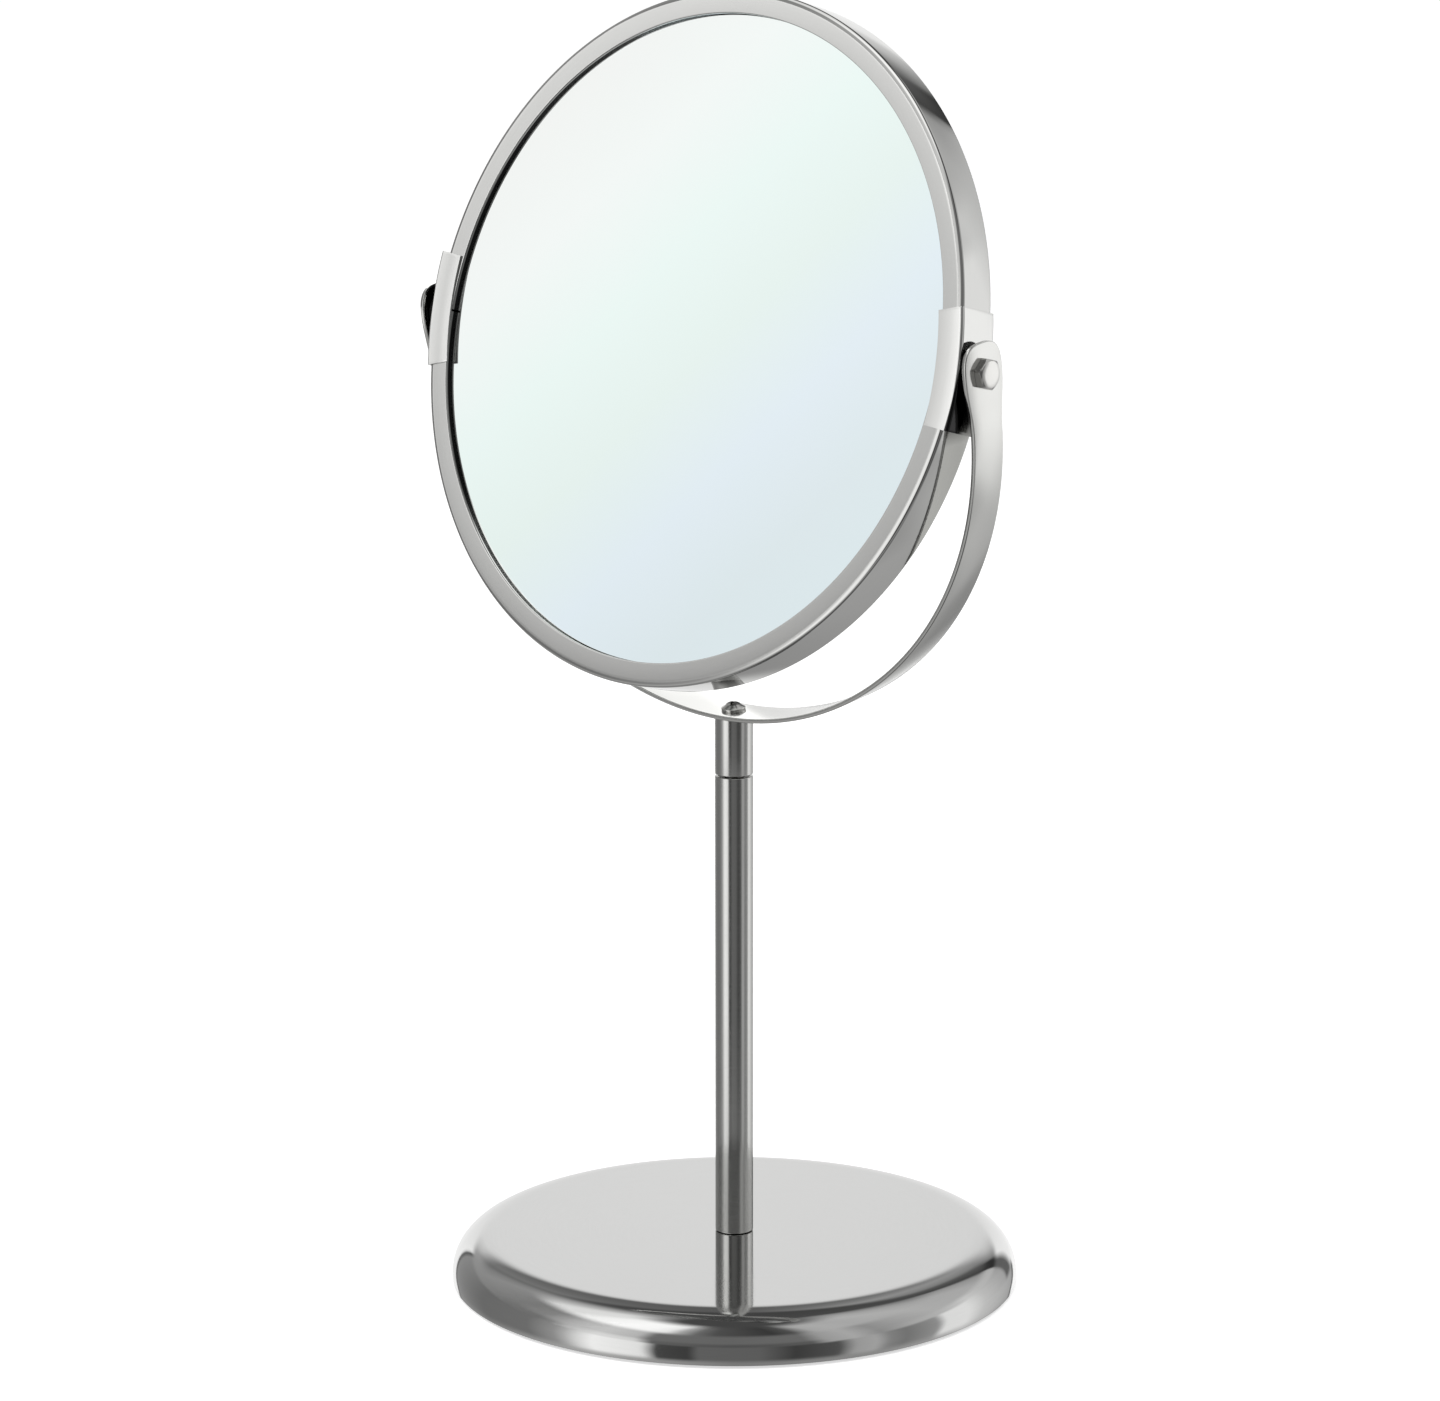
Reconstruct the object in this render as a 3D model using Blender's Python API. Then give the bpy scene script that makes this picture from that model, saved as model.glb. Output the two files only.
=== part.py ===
"""A round two-sided tabletop mirror: a weighted dish-shaped base, a thin tube post, a bent strap yoke
that turns on the post, and a mirror head that turns in the yoke on two side bolts.

Units are metres and +Z is up. The origin is the middle of the base's underside. The yoke's arms stand to
left (-X) and right (+X), and the mirror's plain side faces -Y."""

import math

import bmesh
import bpy
from mathutils import Matrix, Vector

MM = 0.001
GAP = 0.3 * MM

# Base
BASE_RADIUS = 73.0 * MM
BASE_HEIGHT = 12.5 * MM
BASE_CORNER = 10.0 * MM
BASE_SHEET = 0.8 * MM
BASE_LIFT = 0.8 * MM
PAD_RADIUS = 66.0 * MM
PAD_TOP = 1.0 * MM
PLATE_RADIUS = BASE_RADIUS - BASE_SHEET - GAP
PLATE_TOP = 2.9 * MM
WEIGHT_RADIUS = 63.0 * MM
WEIGHT_BOTTOM = 6.9 * MM
WEIGHT_TOP = BASE_HEIGHT - BASE_SHEET - GAP

# Post
POST_RADIUS = 4.9 * MM
POST_WALL = 0.8 * MM
POST_TOP = 133.0 * MM
SEAM = 0.5 * MM
SPIGOT_RADIUS = 2.4 * MM
SPIGOT_BOTTOM = 111.0 * MM
BUSH_BOTTOM = 114.0 * MM
POST_BORE = POST_RADIUS - POST_WALL

# Yoke: the strap's lowest outer point is the origin of the leaning frame
YOKE_FOOT = 148.8 * MM
YOKE_LEAN = math.radians(7.7)
STRAP_THICK = 1.2 * MM
STRAP_WIDTH = 10.8 * MM
YOKE_HALF_SPAN = 91.0 * MM
YOKE_DEPTH = 85.8 * MM
PIVOT_RISE = 97.4 * MM
EAR_HALF_WIDTH = 6.9 * MM
EAR_RISE = 7.6 * MM
EAR_TAPER = 14.0 * MM
EAR_FULLNESS = 2.9

# Mirror head, in a frame whose +Z is the plain side's outward direction
HEAD_TILT = math.radians(22.2)
RIM_RADIUS = 86.9 * MM
LIP_RADIUS = 80.9 * MM
HEAD_HALF_DEPTH = 5.7 * MM
RIM_SHEET = 0.7 * MM
RIM_ROUNDING = 1.1 * MM
RIM_JOINT = 0.6 * MM
GLASS_RADIUS = 85.3 * MM
GLASS_THICK = 1.8 * MM
MAGNIFIER_SAG = 3.6 * MM
SPACER_BORE = 79.4 * MM
CLIP_LENGTH = 30.0 * MM
CLIP_SHEET = 0.6 * MM
CLIP_OUTER = RIM_RADIUS + 1.3 * MM
CLIP_BEND = 0.9 * MM
CLIP_CORNER = 3.0 * MM
ARM_INNER = YOKE_HALF_SPAN - STRAP_THICK
BOLT_RADIUS = 2.0 * MM
BOLT_HEX = 7.0 * MM
BOLT_HEAD = 2.0 * MM
# Up the bolt head: (share of its height, share of its corners' reach)
BOLT_CROWN = ((0.0, 1.0), (0.7, 1.0), (0.88, 0.93), (1.0, 0.82), (1.06, 0.5))
WASHER_RADIUS = 5.2 * MM
BLOCK_MIDDLE = 83.6 * MM


# Materials


def material(name, colour, roughness, metallic):
    made = bpy.data.materials.new(name)
    made.use_nodes = True
    shader = made.node_tree.nodes["Principled BSDF"]
    shader.inputs["Base Color"].default_value = (*colour, 1.0)
    shader.inputs["Roughness"].default_value = roughness
    shader.inputs["Metallic"].default_value = metallic
    made.diffuse_color = (*colour, 1.0)
    return made


def polished_steel():
    return material("polished_steel", (0.78, 0.78, 0.77), 0.12, 1.0)


def satin_steel():
    return material("satin_steel", (0.70, 0.70, 0.68), 0.32, 1.0)


def plated_fastener():
    return material("plated_fastener", (0.72, 0.72, 0.71), 0.22, 1.0)


def mirror_glass():
    return material("mirror_glass", (0.88, 0.91, 0.92), 0.02, 1.0)


def cast_iron():
    return material("cast_iron", (0.16, 0.16, 0.17), 0.65, 0.8)


def black_plastic():
    return material("black_plastic", (0.05, 0.05, 0.055), 0.5, 0.0)


def white_plastic():
    return material("white_plastic", (0.80, 0.80, 0.78), 0.45, 0.0)


def grey_foam():
    return material("grey_foam", (0.22, 0.22, 0.23), 0.95, 0.0)


def grey_board():
    return material("grey_board", (0.50, 0.48, 0.45), 0.9, 0.0)


# Building tools


def clear_scene():
    for old in list(bpy.data.objects):
        bpy.data.objects.remove(old, do_unlink=True)


def collection(name, hidden=False):
    made = bpy.data.collections.new(name)
    bpy.context.scene.collection.children.link(made)
    made.hide_render = hidden
    return made


def frame(name, parent=None, location=(0, 0, 0), rotation=(0, 0, 0)):
    """An empty that carries the pieces parented to it."""
    empty = bpy.data.objects.new(name, None)
    PIECES.objects.link(empty)
    empty.empty_display_size = 0.02
    empty.parent = parent
    empty.location = location
    empty.rotation_euler = rotation
    return empty


def piece(name, mesh, finish, parent=None, location=(0, 0, 0), rotation=(0, 0, 0)):
    made = bpy.data.objects.new(name, mesh)
    PIECES.objects.link(made)
    mesh.materials.append(finish)
    made.parent = parent
    made.location = location
    made.rotation_euler = rotation
    return made


def shade(obj, degrees=35):
    obj.data.shade_smooth()
    obj.data.set_sharp_from_angle(angle=math.radians(degrees))
    return obj


def lathe_mesh(name, profile, steps, start=0.0, turn=math.tau):
    """A closed profile of (radius, height) points turned about Z. A part turn is capped at both ends."""
    mesh = bpy.data.meshes.new(name)
    shape = bmesh.new()
    whole = turn > math.tau - 1e-6
    columns = []
    for i in range(steps if whole else steps + 1):
        angle = start + turn * i / steps
        column = []
        axis_points = columns[0] if columns else None
        for j, (radius, height) in enumerate(profile):
            if radius < 1e-9 and axis_points:
                column.append(axis_points[j])
            else:
                point = (radius * math.cos(angle), radius * math.sin(angle), height)
                column.append(shape.verts.new(point))
        columns.append(column)
    pairs = list(zip(columns, columns[1:] + columns[:1] if whole else columns[1:]))
    for here, there in pairs:
        for j in range(len(profile)):
            k = (j + 1) % len(profile)
            corners = []
            for vert in (here[j], here[k], there[k], there[j]):
                if vert not in corners:
                    corners.append(vert)
            if len(corners) > 2:
                shape.faces.new(corners)
    if not whole:
        shape.faces.new(columns[0])
        shape.faces.new(list(reversed(columns[-1])))
    bmesh.ops.recalc_face_normals(shape, faces=shape.faces)
    shape.to_mesh(mesh)
    shape.free()
    return mesh


def lathe(name, profile, finish, steps=48, parent=None, location=(0, 0, 0), rotation=(0, 0, 0)):
    return shade(piece(name, lathe_mesh(name, profile, steps), finish, parent, location, rotation))


def prism_mesh(name, outline, bottom, top):
    """An outline of (x, y) points raised from bottom to top along Z."""
    mesh = bpy.data.meshes.new(name)
    shape = bmesh.new()
    low = [shape.verts.new((x, y, bottom)) for x, y in outline]
    high = [shape.verts.new((x, y, top)) for x, y in outline]
    shape.faces.new(list(reversed(low)))
    shape.faces.new(high)
    for i in range(len(outline)):
        k = (i + 1) % len(outline)
        shape.faces.new((low[i], low[k], high[k], high[i]))
    bmesh.ops.recalc_face_normals(shape, faces=shape.faces)
    shape.to_mesh(mesh)
    shape.free()
    return mesh


def circle(radius, steps=32):
    """An outline of (x, y) points. A few steps make a polygon with its corners on the circle."""
    points = []
    for i in range(steps):
        angle = math.tau * i / steps
        points.append((radius * math.cos(angle), radius * math.sin(angle)))
    return points


def hexagon(across_flats):
    return circle(across_flats / 2 / math.cos(math.pi / 6), 6)


def box_mesh(name, size, centre):
    mesh = bpy.data.meshes.new(name)
    shape = bmesh.new()
    bmesh.ops.create_cube(shape, size=1.0)
    placing = Matrix.Translation(centre) @ Matrix.Diagonal((*size, 1.0))
    bmesh.ops.transform(shape, matrix=placing, verts=shape.verts)
    shape.to_mesh(mesh)
    shape.free()
    return mesh


def cutter(name, mesh, parent=None, location=(0, 0, 0), rotation=(0, 0, 0)):
    made = bpy.data.objects.new(name, mesh)
    CUTTERS.objects.link(made)
    made.parent = parent
    made.location = location
    made.rotation_euler = rotation
    made.display_type = "WIRE"
    made.hide_render = True
    return made


def boolean(target, tool, operation="DIFFERENCE"):
    change = target.modifiers.new(f"{operation.lower()}_{tool.name}", "BOOLEAN")
    change.operation = operation
    change.solver = "EXACT"
    change.object = tool
    return target


def arc(centre, radius, start, end, steps):
    """Points on an arc from start to end, in degrees."""
    points = []
    for i in range(steps + 1):
        angle = math.radians(start + (end - start) * i / steps)
        points.append((centre[0] + radius * math.cos(angle), centre[1] + radius * math.sin(angle)))
    return points


# Base and post


def base_cover():
    """The drawn sheet-steel dish that shows, open underneath, with a hole for the clamp bolt."""
    corner = (BASE_RADIUS - BASE_CORNER, BASE_HEIGHT - BASE_CORNER)
    profile = arc(corner, BASE_CORNER, 0, 90, 8)[::-1]
    profile = [(3.0 * MM, BASE_HEIGHT)] + profile + [(BASE_RADIUS, BASE_LIFT)]
    profile += [(BASE_RADIUS - BASE_SHEET, BASE_LIFT)]
    profile += arc(corner, BASE_CORNER - BASE_SHEET, 0, 90, 5)
    profile += [(3.0 * MM, BASE_HEIGHT - BASE_SHEET)]
    return lathe("base_cover", profile, polished_steel(), 72)


def base_weight():
    profile = [
        (3.2 * MM, WEIGHT_TOP),
        (WEIGHT_RADIUS - 1.5 * MM, WEIGHT_TOP),
        (WEIGHT_RADIUS, WEIGHT_TOP - 1.5 * MM),
        (WEIGHT_RADIUS, WEIGHT_BOTTOM + 0.6 * MM),
        (WEIGHT_RADIUS - 0.6 * MM, WEIGHT_BOTTOM),
        (3.2 * MM, WEIGHT_BOTTOM),
    ]
    return lathe("base_weight", profile, cast_iron(), 48)


def base_plate():
    """The moulded underside: a flat disc with a raised ring that bears on the weight, and a well for the
    bolt head."""
    profile = [
        (7.6 * MM, PLATE_TOP),
        (40.0 * MM, PLATE_TOP),
        (40.0 * MM, WEIGHT_BOTTOM - GAP),
        (42.0 * MM, WEIGHT_BOTTOM - GAP),
        (42.0 * MM, PLATE_TOP),
        (PLATE_RADIUS, PLATE_TOP),
        (PLATE_RADIUS, PAD_TOP + GAP),
        (7.6 * MM, PAD_TOP + GAP),
    ]
    return lathe("base_plate", profile, black_plastic(), 48)


def foot_pad():
    profile = [
        (0.0, PAD_TOP),
        (PAD_RADIUS - 0.3 * MM, PAD_TOP),
        (PAD_RADIUS, PAD_TOP - 0.3 * MM),
        (PAD_RADIUS, 0.0),
        (0.0, 0.0),
    ]
    return lathe("foot_pad", profile, grey_foam(), 48)


def base_washer():
    profile = ring_profile(3.0 * MM, 6.8 * MM, 5.8 * MM, 6.6 * MM)
    return lathe("base_washer", profile, plated_fastener(), 32)


def ring_profile(inner, outer, bottom, top):
    return [(inner, top), (outer, top), (outer, bottom), (inner, bottom)]


def base_bolt():
    """The bolt that pulls the post down on the cover and the weight up under it."""
    shank = solid_profile([(2.4 * MM, 27.5 * MM), (2.7 * MM, 27.2 * MM), (2.7 * MM, 4.0 * MM)])
    bolt = piece("base_bolt", lathe_mesh("base_bolt", shank, 24), plated_fastener())
    head = prism_mesh("base_bolt_head", hexagon(8.0 * MM), 3.1 * MM, 5.5 * MM)
    boolean(bolt, cutter("base_bolt_head", head), "UNION")
    return shade(bolt)


def solid_profile(outer):
    """A profile closed on the axis, from its outer points listed top to bottom."""
    return [(0.0, outer[0][1])] + outer + [(0.0, outer[-1][1])]


def post_tube():
    inner = POST_BORE
    profile = [
        (inner, POST_TOP),
        (POST_RADIUS - 0.25 * MM, POST_TOP),
        (POST_RADIUS, POST_TOP - 0.25 * MM),
        (POST_RADIUS, BASE_HEIGHT + GAP + 0.2 * MM),
        (POST_RADIUS - 0.2 * MM, BASE_HEIGHT + GAP),
        (inner, BASE_HEIGHT + GAP),
    ]
    return lathe("post_tube", profile, satin_steel(), 40)


def post_plug():
    """The threaded insert pressed into the foot of the tube."""
    profile = [
        (3.0 * MM, 31.0 * MM),
        (POST_BORE - 0.7 * MM, 31.0 * MM),
        (POST_BORE - GAP, 30.6 * MM),
        (POST_BORE - GAP, BASE_HEIGHT + GAP),
        (3.0 * MM, BASE_HEIGHT + GAP),
    ]
    return lathe("post_plug", profile, plated_fastener(), 32)


def post_bush():
    """The plastic sleeve in the top of the tube that the yoke's spigot turns in."""
    inner = SPIGOT_RADIUS + GAP
    outer = POST_BORE - GAP
    top = POST_TOP - 0.4 * MM
    return lathe("post_bush", ring_profile(inner, outer, BUSH_BOTTOM, top), white_plastic(), 32)


# Yoke


def swivel_stub(parent):
    """The turned end piece: a short length the tube's size, and a grooved spigot that hangs in the bush.
    Its top is cut to the strap's lean."""
    seam = POST_TOP + SEAM
    groove = 1.8 * MM
    profile = solid_profile(
        [
            (POST_RADIUS, YOKE_FOOT + 3.0 * MM),
            (POST_RADIUS, seam + 0.25 * MM),
            (POST_RADIUS - 0.25 * MM, seam),
            (SPIGOT_RADIUS, seam),
            (SPIGOT_RADIUS, SPIGOT_BOTTOM + 2.2 * MM),
            (groove, SPIGOT_BOTTOM + 2.2 * MM),
            (groove, SPIGOT_BOTTOM + 1.2 * MM),
            (SPIGOT_RADIUS, SPIGOT_BOTTOM + 1.2 * MM),
            (SPIGOT_RADIUS - 0.4 * MM, SPIGOT_BOTTOM),
        ]
    )
    lowered = [(radius, height - seam) for radius, height in profile]
    stub = lathe("swivel_stub", lowered, satin_steel(), 40, parent)
    seat = box_mesh("seat_cut", (20 * MM, 20 * MM, 10 * MM), (0, 0, 5 * MM - GAP))
    boolean(stub, cutter("seat_cut", seat, parent, (0, 0, YOKE_FOOT - seam), (YOKE_LEAN, 0, 0)))
    hole = prism_mesh("stub_thread", circle(1.75 * MM, 20), -11.0 * MM, 2.0 * MM)
    boolean(stub, cutter("stub_thread", hole, parent, (0, 0, YOKE_FOOT - seam), (YOKE_LEAN, 0, 0)))
    return stub


def spigot_ring(parent):
    """The spring ring in the spigot's groove that keeps the yoke from lifting out."""
    middle = SPIGOT_BOTTOM + 1.7 * MM - POST_TOP - SEAM
    profile = ring_profile(1.8 * MM + GAP, POST_BORE - GAP, middle - 0.2 * MM, middle + 0.2 * MM)
    return lathe("spigot_ring", profile, plated_fastener(), 28, parent)


def strap_path():
    """(x, z, half width) on the strap's outer face: down the left arm, round the bottom and up the right
    arm."""
    top = PIVOT_RISE + EAR_RISE
    middle = YOKE_DEPTH
    right = []
    for i in range(23):
        angle = math.radians(-90 + 90 * i / 22)
        right.append((YOKE_HALF_SPAN * math.cos(angle), middle + YOKE_DEPTH * math.sin(angle)))
    rise = top - middle
    for share in (0.15, 0.3, 0.42, 0.54, 0.64, 0.74, 0.82, 0.89, 0.94, 0.975, 0.993, 0.999):
        right.append((YOKE_HALF_SPAN, middle + rise * share))
    path = [(x, z, strap_half_width(z - PIVOT_RISE)) for x, z in right]
    return [(-x, z, half) for x, z, half in reversed(path[1:])] + path


def strap_half_width(height):
    """Half the strap's width at a height above the pivot: a rounded ear about the bolt that tapers to the
    strap."""
    narrow = STRAP_WIDTH / 2
    if height > 0:
        share = min(height / EAR_RISE, 1.0)
        return EAR_HALF_WIDTH * (1 - share**EAR_FULLNESS) ** (1 / EAR_FULLNESS)
    blend = min(-height / EAR_TAPER, 1.0)
    ease = blend * blend * (3 - 2 * blend)
    return EAR_HALF_WIDTH + (narrow - EAR_HALF_WIDTH) * ease


def strap_mesh():
    """The strap as a strip of quads with a wall thickness set in along its inward normal."""
    path = strap_path()
    mesh = bpy.data.meshes.new("yoke_strap")
    shape = bmesh.new()
    rows = []
    for i, (x, z, half) in enumerate(path):
        before = Vector(path[max(i - 1, 0)][:2])
        after = Vector(path[min(i + 1, len(path) - 1)][:2])
        along = (after - before).normalized()
        inner = Vector((x, z)) + Vector((-along.y, along.x)) * STRAP_THICK
        corners = ((x, -half, z), (x, half, z), (inner.x, half, inner.y), (inner.x, -half, inner.y))
        rows.append([shape.verts.new(corner) for corner in corners])
    for here, there in zip(rows, rows[1:]):
        for j in range(4):
            k = (j + 1) % 4
            shape.faces.new((here[j], here[k], there[k], there[j]))
    shape.faces.new(rows[0])
    shape.faces.new(list(reversed(rows[-1])))
    bmesh.ops.recalc_face_normals(shape, faces=shape.faces)
    shape.to_mesh(mesh)
    shape.free()
    return mesh


def yoke_strap(parent):
    strap = piece("yoke_strap", strap_mesh(), satin_steel(), parent)
    shade(strap)
    side = prism_mesh("arm_holes", circle(BOLT_RADIUS + GAP, 24), -0.11, 0.11)
    boolean(strap, cutter("arm_holes", side, parent, (0, 0, PIVOT_RISE), (0, math.pi / 2, 0)))
    foot = prism_mesh("foot_hole", circle(1.8 * MM, 20), -3 * MM, 4 * MM)
    boolean(strap, cutter("foot_hole", foot, parent))
    return strap


def yoke_screw(parent):
    """The pan-head screw through the strap's foot, with a cross recess."""
    seat = STRAP_THICK + GAP
    profile = solid_profile(
        [
            (1.6 * MM, seat + 2.0 * MM),
            (2.5 * MM, seat + 1.6 * MM),
            (3.0 * MM, seat + 0.9 * MM),
            (3.1 * MM, seat),
            (1.4 * MM, seat),
            (1.4 * MM, -9.6 * MM),
            (1.1 * MM, -10.0 * MM),
        ]
    )
    screw = lathe("yoke_screw", profile, plated_fastener(), 24, parent)
    for i, size in enumerate(((3.2 * MM, 0.7 * MM), (0.7 * MM, 3.2 * MM))):
        slot = box_mesh(f"recess_{i}", (*size, 2.4 * MM), (0, 0, seat + 2.1 * MM))
        boolean(screw, cutter(f"recess_{i}", slot, parent))
    return screw


# Mirror head


def rim_profile():
    """The rolled channel: an outer wall and two lips turned in over the glass."""
    half = HEAD_HALF_DEPTH
    corner = RIM_RADIUS - RIM_ROUNDING
    inner = RIM_RADIUS - RIM_SHEET
    front = arc((corner, half - RIM_ROUNDING), RIM_ROUNDING, 90, 0, 3)
    rear = arc((corner, -half + RIM_ROUNDING), RIM_ROUNDING, 0, -90, 3)
    edge = 0.25 * MM
    rear_lip = [(LIP_RADIUS + edge, -half), (LIP_RADIUS, -half + edge), (LIP_RADIUS, -half + RIM_SHEET)]
    inside = [(inner, -half + RIM_SHEET), (inner, half - RIM_SHEET)]
    front_lip = [(LIP_RADIUS, half - RIM_SHEET), (LIP_RADIUS, half - edge), (LIP_RADIUS + edge, half)]
    return front + rear + rear_lip + inside + front_lip


def rim_half(name, start, parent):
    """Half of the rim. The two halves meet under the clips."""
    trim = RIM_JOINT / 2 / RIM_RADIUS
    mesh = lathe_mesh(name, rim_profile(), 40, start + trim, math.pi - 2 * trim)
    half = shade(piece(name, mesh, satin_steel(), parent))
    return bore_head(half)


def bore_head(obj):
    """The cross bore for the two side bolts."""
    return boolean(obj, bpy.data.objects["head_bore"])


def head_bore(parent):
    bore = prism_mesh("head_bore", circle(BOLT_RADIUS + GAP, 24), -0.11, 0.11)
    return cutter("head_bore", bore, parent, rotation=(0, math.pi / 2, 0))


def plain_glass(parent):
    front = HEAD_HALF_DEPTH - RIM_SHEET - GAP
    back = front - GLASS_THICK
    profile = solid_profile(
        [(GLASS_RADIUS - 0.3 * MM, front), (GLASS_RADIUS, front - 0.3 * MM), (GLASS_RADIUS, back)]
    )
    return lathe("plain_glass", profile, mirror_glass(), 80, parent)


def magnifying_glass(parent):
    """The slumped glass of the other side: concave outward, with an even wall."""
    outer = -(HEAD_HALF_DEPTH - RIM_SHEET - GAP)
    rows = 5
    hollow = []
    for i in range(rows + 1):
        share = 1 - i / rows
        hollow.append((GLASS_RADIUS * share, outer + MAGNIFIER_SAG * (1 - share * share)))
    inner = [(radius, height + GLASS_THICK) for radius, height in reversed(hollow)]
    return lathe("magnifying_glass", inner + hollow, mirror_glass(), 60, parent)


def spacer_ring(parent):
    """The moulded ring that keeps the two glasses apart at their edges, with a pocket for each threaded
    block."""
    top = HEAD_HALF_DEPTH - RIM_SHEET - GAP - GLASS_THICK - GAP
    profile = ring_profile(SPACER_BORE, GLASS_RADIUS, -top + 0.5 * MM, top)
    ring = lathe("spacer_ring", profile, white_plastic(), 60, parent)
    for label, side in (("left", -1), ("right", 1)):
        pocket = box_mesh(f"pocket_{label}", (9.0 * MM, 10.6 * MM, 12.0 * MM), (side * 85.9 * MM, 0, 0))
        boolean(ring, cutter(f"pocket_{label}", pocket, parent))
    return ring


def backing_board(parent):
    """The board between the two silverings, glued to the plain glass."""
    top = HEAD_HALF_DEPTH - RIM_SHEET - GAP - GLASS_THICK - GAP
    profile = solid_profile([(SPACER_BORE - 0.5 * MM, top), (SPACER_BORE - 0.5 * MM, top - 1.0 * MM)])
    return lathe("backing_board", profile, grey_board(), 48, parent)


def clip_section():
    """The folded U of a clip seen along its length: radius, and height across the head's depth."""
    leg = HEAD_HALF_DEPTH + GAP
    outer = leg + CLIP_SHEET
    lip = LIP_RADIUS + 0.1 * MM
    web = CLIP_OUTER - CLIP_SHEET
    front = arc((CLIP_OUTER - CLIP_BEND, outer - CLIP_BEND), CLIP_BEND, 90, 0, 3)
    rear = arc((CLIP_OUTER - CLIP_BEND, -outer + CLIP_BEND), CLIP_BEND, 0, -90, 3)
    return [(lip, outer)] + front + rear + [(lip, -outer), (lip, -leg), (web, -leg), (web, leg), (lip, leg)]


def clip_corner(sign):
    """What is cut off a clip to round an inner corner: x outward from the head's middle, y along the clip."""
    end = CLIP_LENGTH / 2
    low = LIP_RADIUS - 1.6 * MM
    outline = [(low - 1 * MM, end - CLIP_CORNER)]
    outline += arc((low + CLIP_CORNER, end - CLIP_CORNER), CLIP_CORNER, 180, 90, 5)
    outline += [(low + CLIP_CORNER, end + 1 * MM), (low - 1 * MM, end + 1 * MM)]
    return [(x, sign * y) for x, y in outline]


def side_clip(name, side, parent):
    """A folded saddle, bent to the rim's round, that wraps the rim at a pivot and covers the joint of its
    halves."""
    turn = (0, 0, 0 if side > 0 else math.pi)
    reach = CLIP_LENGTH / 2 / CLIP_OUTER
    mesh = lathe_mesh(name, clip_section(), 14, -reach, 2 * reach)
    clip = shade(piece(name, mesh, polished_steel(), parent, rotation=turn))
    for label, sign in (("lower", -1), ("upper", 1)):
        corner = prism_mesh(f"{name}_{label}_corner", clip_corner(sign), -9 * MM, 9 * MM)
        boolean(clip, cutter(corner.name, corner, parent, rotation=turn))
    return bore_head(clip)


def pivot_block(name, side, parent):
    """The threaded block inside the rim that a side bolt screws into."""
    half = HEAD_HALF_DEPTH - RIM_SHEET - GAP - GLASS_THICK - 2 * GAP
    mesh = box_mesh(name, (3.7 * MM, 10.0 * MM, 2 * half), (side * BLOCK_MIDDLE, 0, 0))
    block = piece(name, mesh, plated_fastener(), parent)
    bore = prism_mesh(f"{name}_bore", circle(1.55 * MM, 20), 80 * MM, 90 * MM)
    return boolean(block, cutter(f"{name}_bore", bore, parent, rotation=(0, side * math.pi / 2, 0)))


def pivot_washer(name, side, parent):
    """The black plastic friction washer between a clip and an arm."""
    profile = ring_profile(BOLT_RADIUS + GAP, WASHER_RADIUS, CLIP_OUTER + GAP, ARM_INNER - GAP)
    return lathe(name, profile, black_plastic(), 32, parent, rotation=(0, side * math.pi / 2, 0))


def pivot_bolt(name, side, parent):
    """A shouldered hex bolt: the shoulder turns in the arm and the thin end is threaded into the block."""
    seat = YOKE_HALF_SPAN + GAP
    turn = (0, side * math.pi / 2, 0)
    shank = solid_profile(
        [
            (BOLT_RADIUS, seat + 1.0 * MM),
            (BOLT_RADIUS, 86.2 * MM),
            (1.25 * MM, 86.2 * MM),
            (1.25 * MM, 82.2 * MM),
        ]
    )
    bolt = piece(name, lathe_mesh(name, shank, 24), plated_fastener(), parent, rotation=turn)
    head = cutter(f"{name}_head", hex_head_mesh(f"{name}_head", seat), parent, rotation=turn)
    boolean(bolt, head, "UNION")
    return shade(bolt, 25)


def hexagon_reach(angle, across_flats):
    """How far a hexagon reaches from its middle at an angle, with a corner at angle 0."""
    return across_flats / 2 / math.cos(angle % (math.pi / 3) - math.pi / 6)


def hex_head_mesh(name, seat):
    """A hexagon whose outer corners are turned down to a round, slightly domed face."""
    mesh = bpy.data.meshes.new(name)
    shape = bmesh.new()
    corner = hexagon_reach(0.0, BOLT_HEX)
    steps = 24
    rings = []
    for height, turned in BOLT_CROWN:
        ring = []
        for i in range(steps):
            angle = math.tau * i / steps
            reach = min(hexagon_reach(angle, BOLT_HEX), turned * corner)
            point = (reach * math.cos(angle), reach * math.sin(angle), seat + BOLT_HEAD * height)
            ring.append(shape.verts.new(point))
        rings.append(ring)
    shape.faces.new(list(reversed(rings[0])))
    for low, high in zip(rings, rings[1:]):
        for i in range(steps):
            k = (i + 1) % steps
            shape.faces.new((low[i], low[k], high[k], high[i]))
    shape.faces.new(rings[-1])
    bmesh.ops.recalc_face_normals(shape, faces=shape.faces)
    shape.to_mesh(mesh)
    shape.free()
    return mesh


# Assembly

clear_scene()
PIECES = collection("tabletop_mirror")
CUTTERS = collection("cutters", hidden=True)

foot_pad()
base_plate()
base_weight()
base_cover()
base_washer()
base_bolt()
post_plug()
post_tube()
post_bush()

swivel = frame("yoke_swivel_axis", location=(0, 0, POST_TOP + SEAM))
swivel_stub(swivel)
spigot_ring(swivel)

yoke = frame("yoke_frame", swivel, (0, 0, YOKE_FOOT - POST_TOP - SEAM), (YOKE_LEAN, 0, 0))
yoke_strap(yoke)
yoke_screw(yoke)

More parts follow.
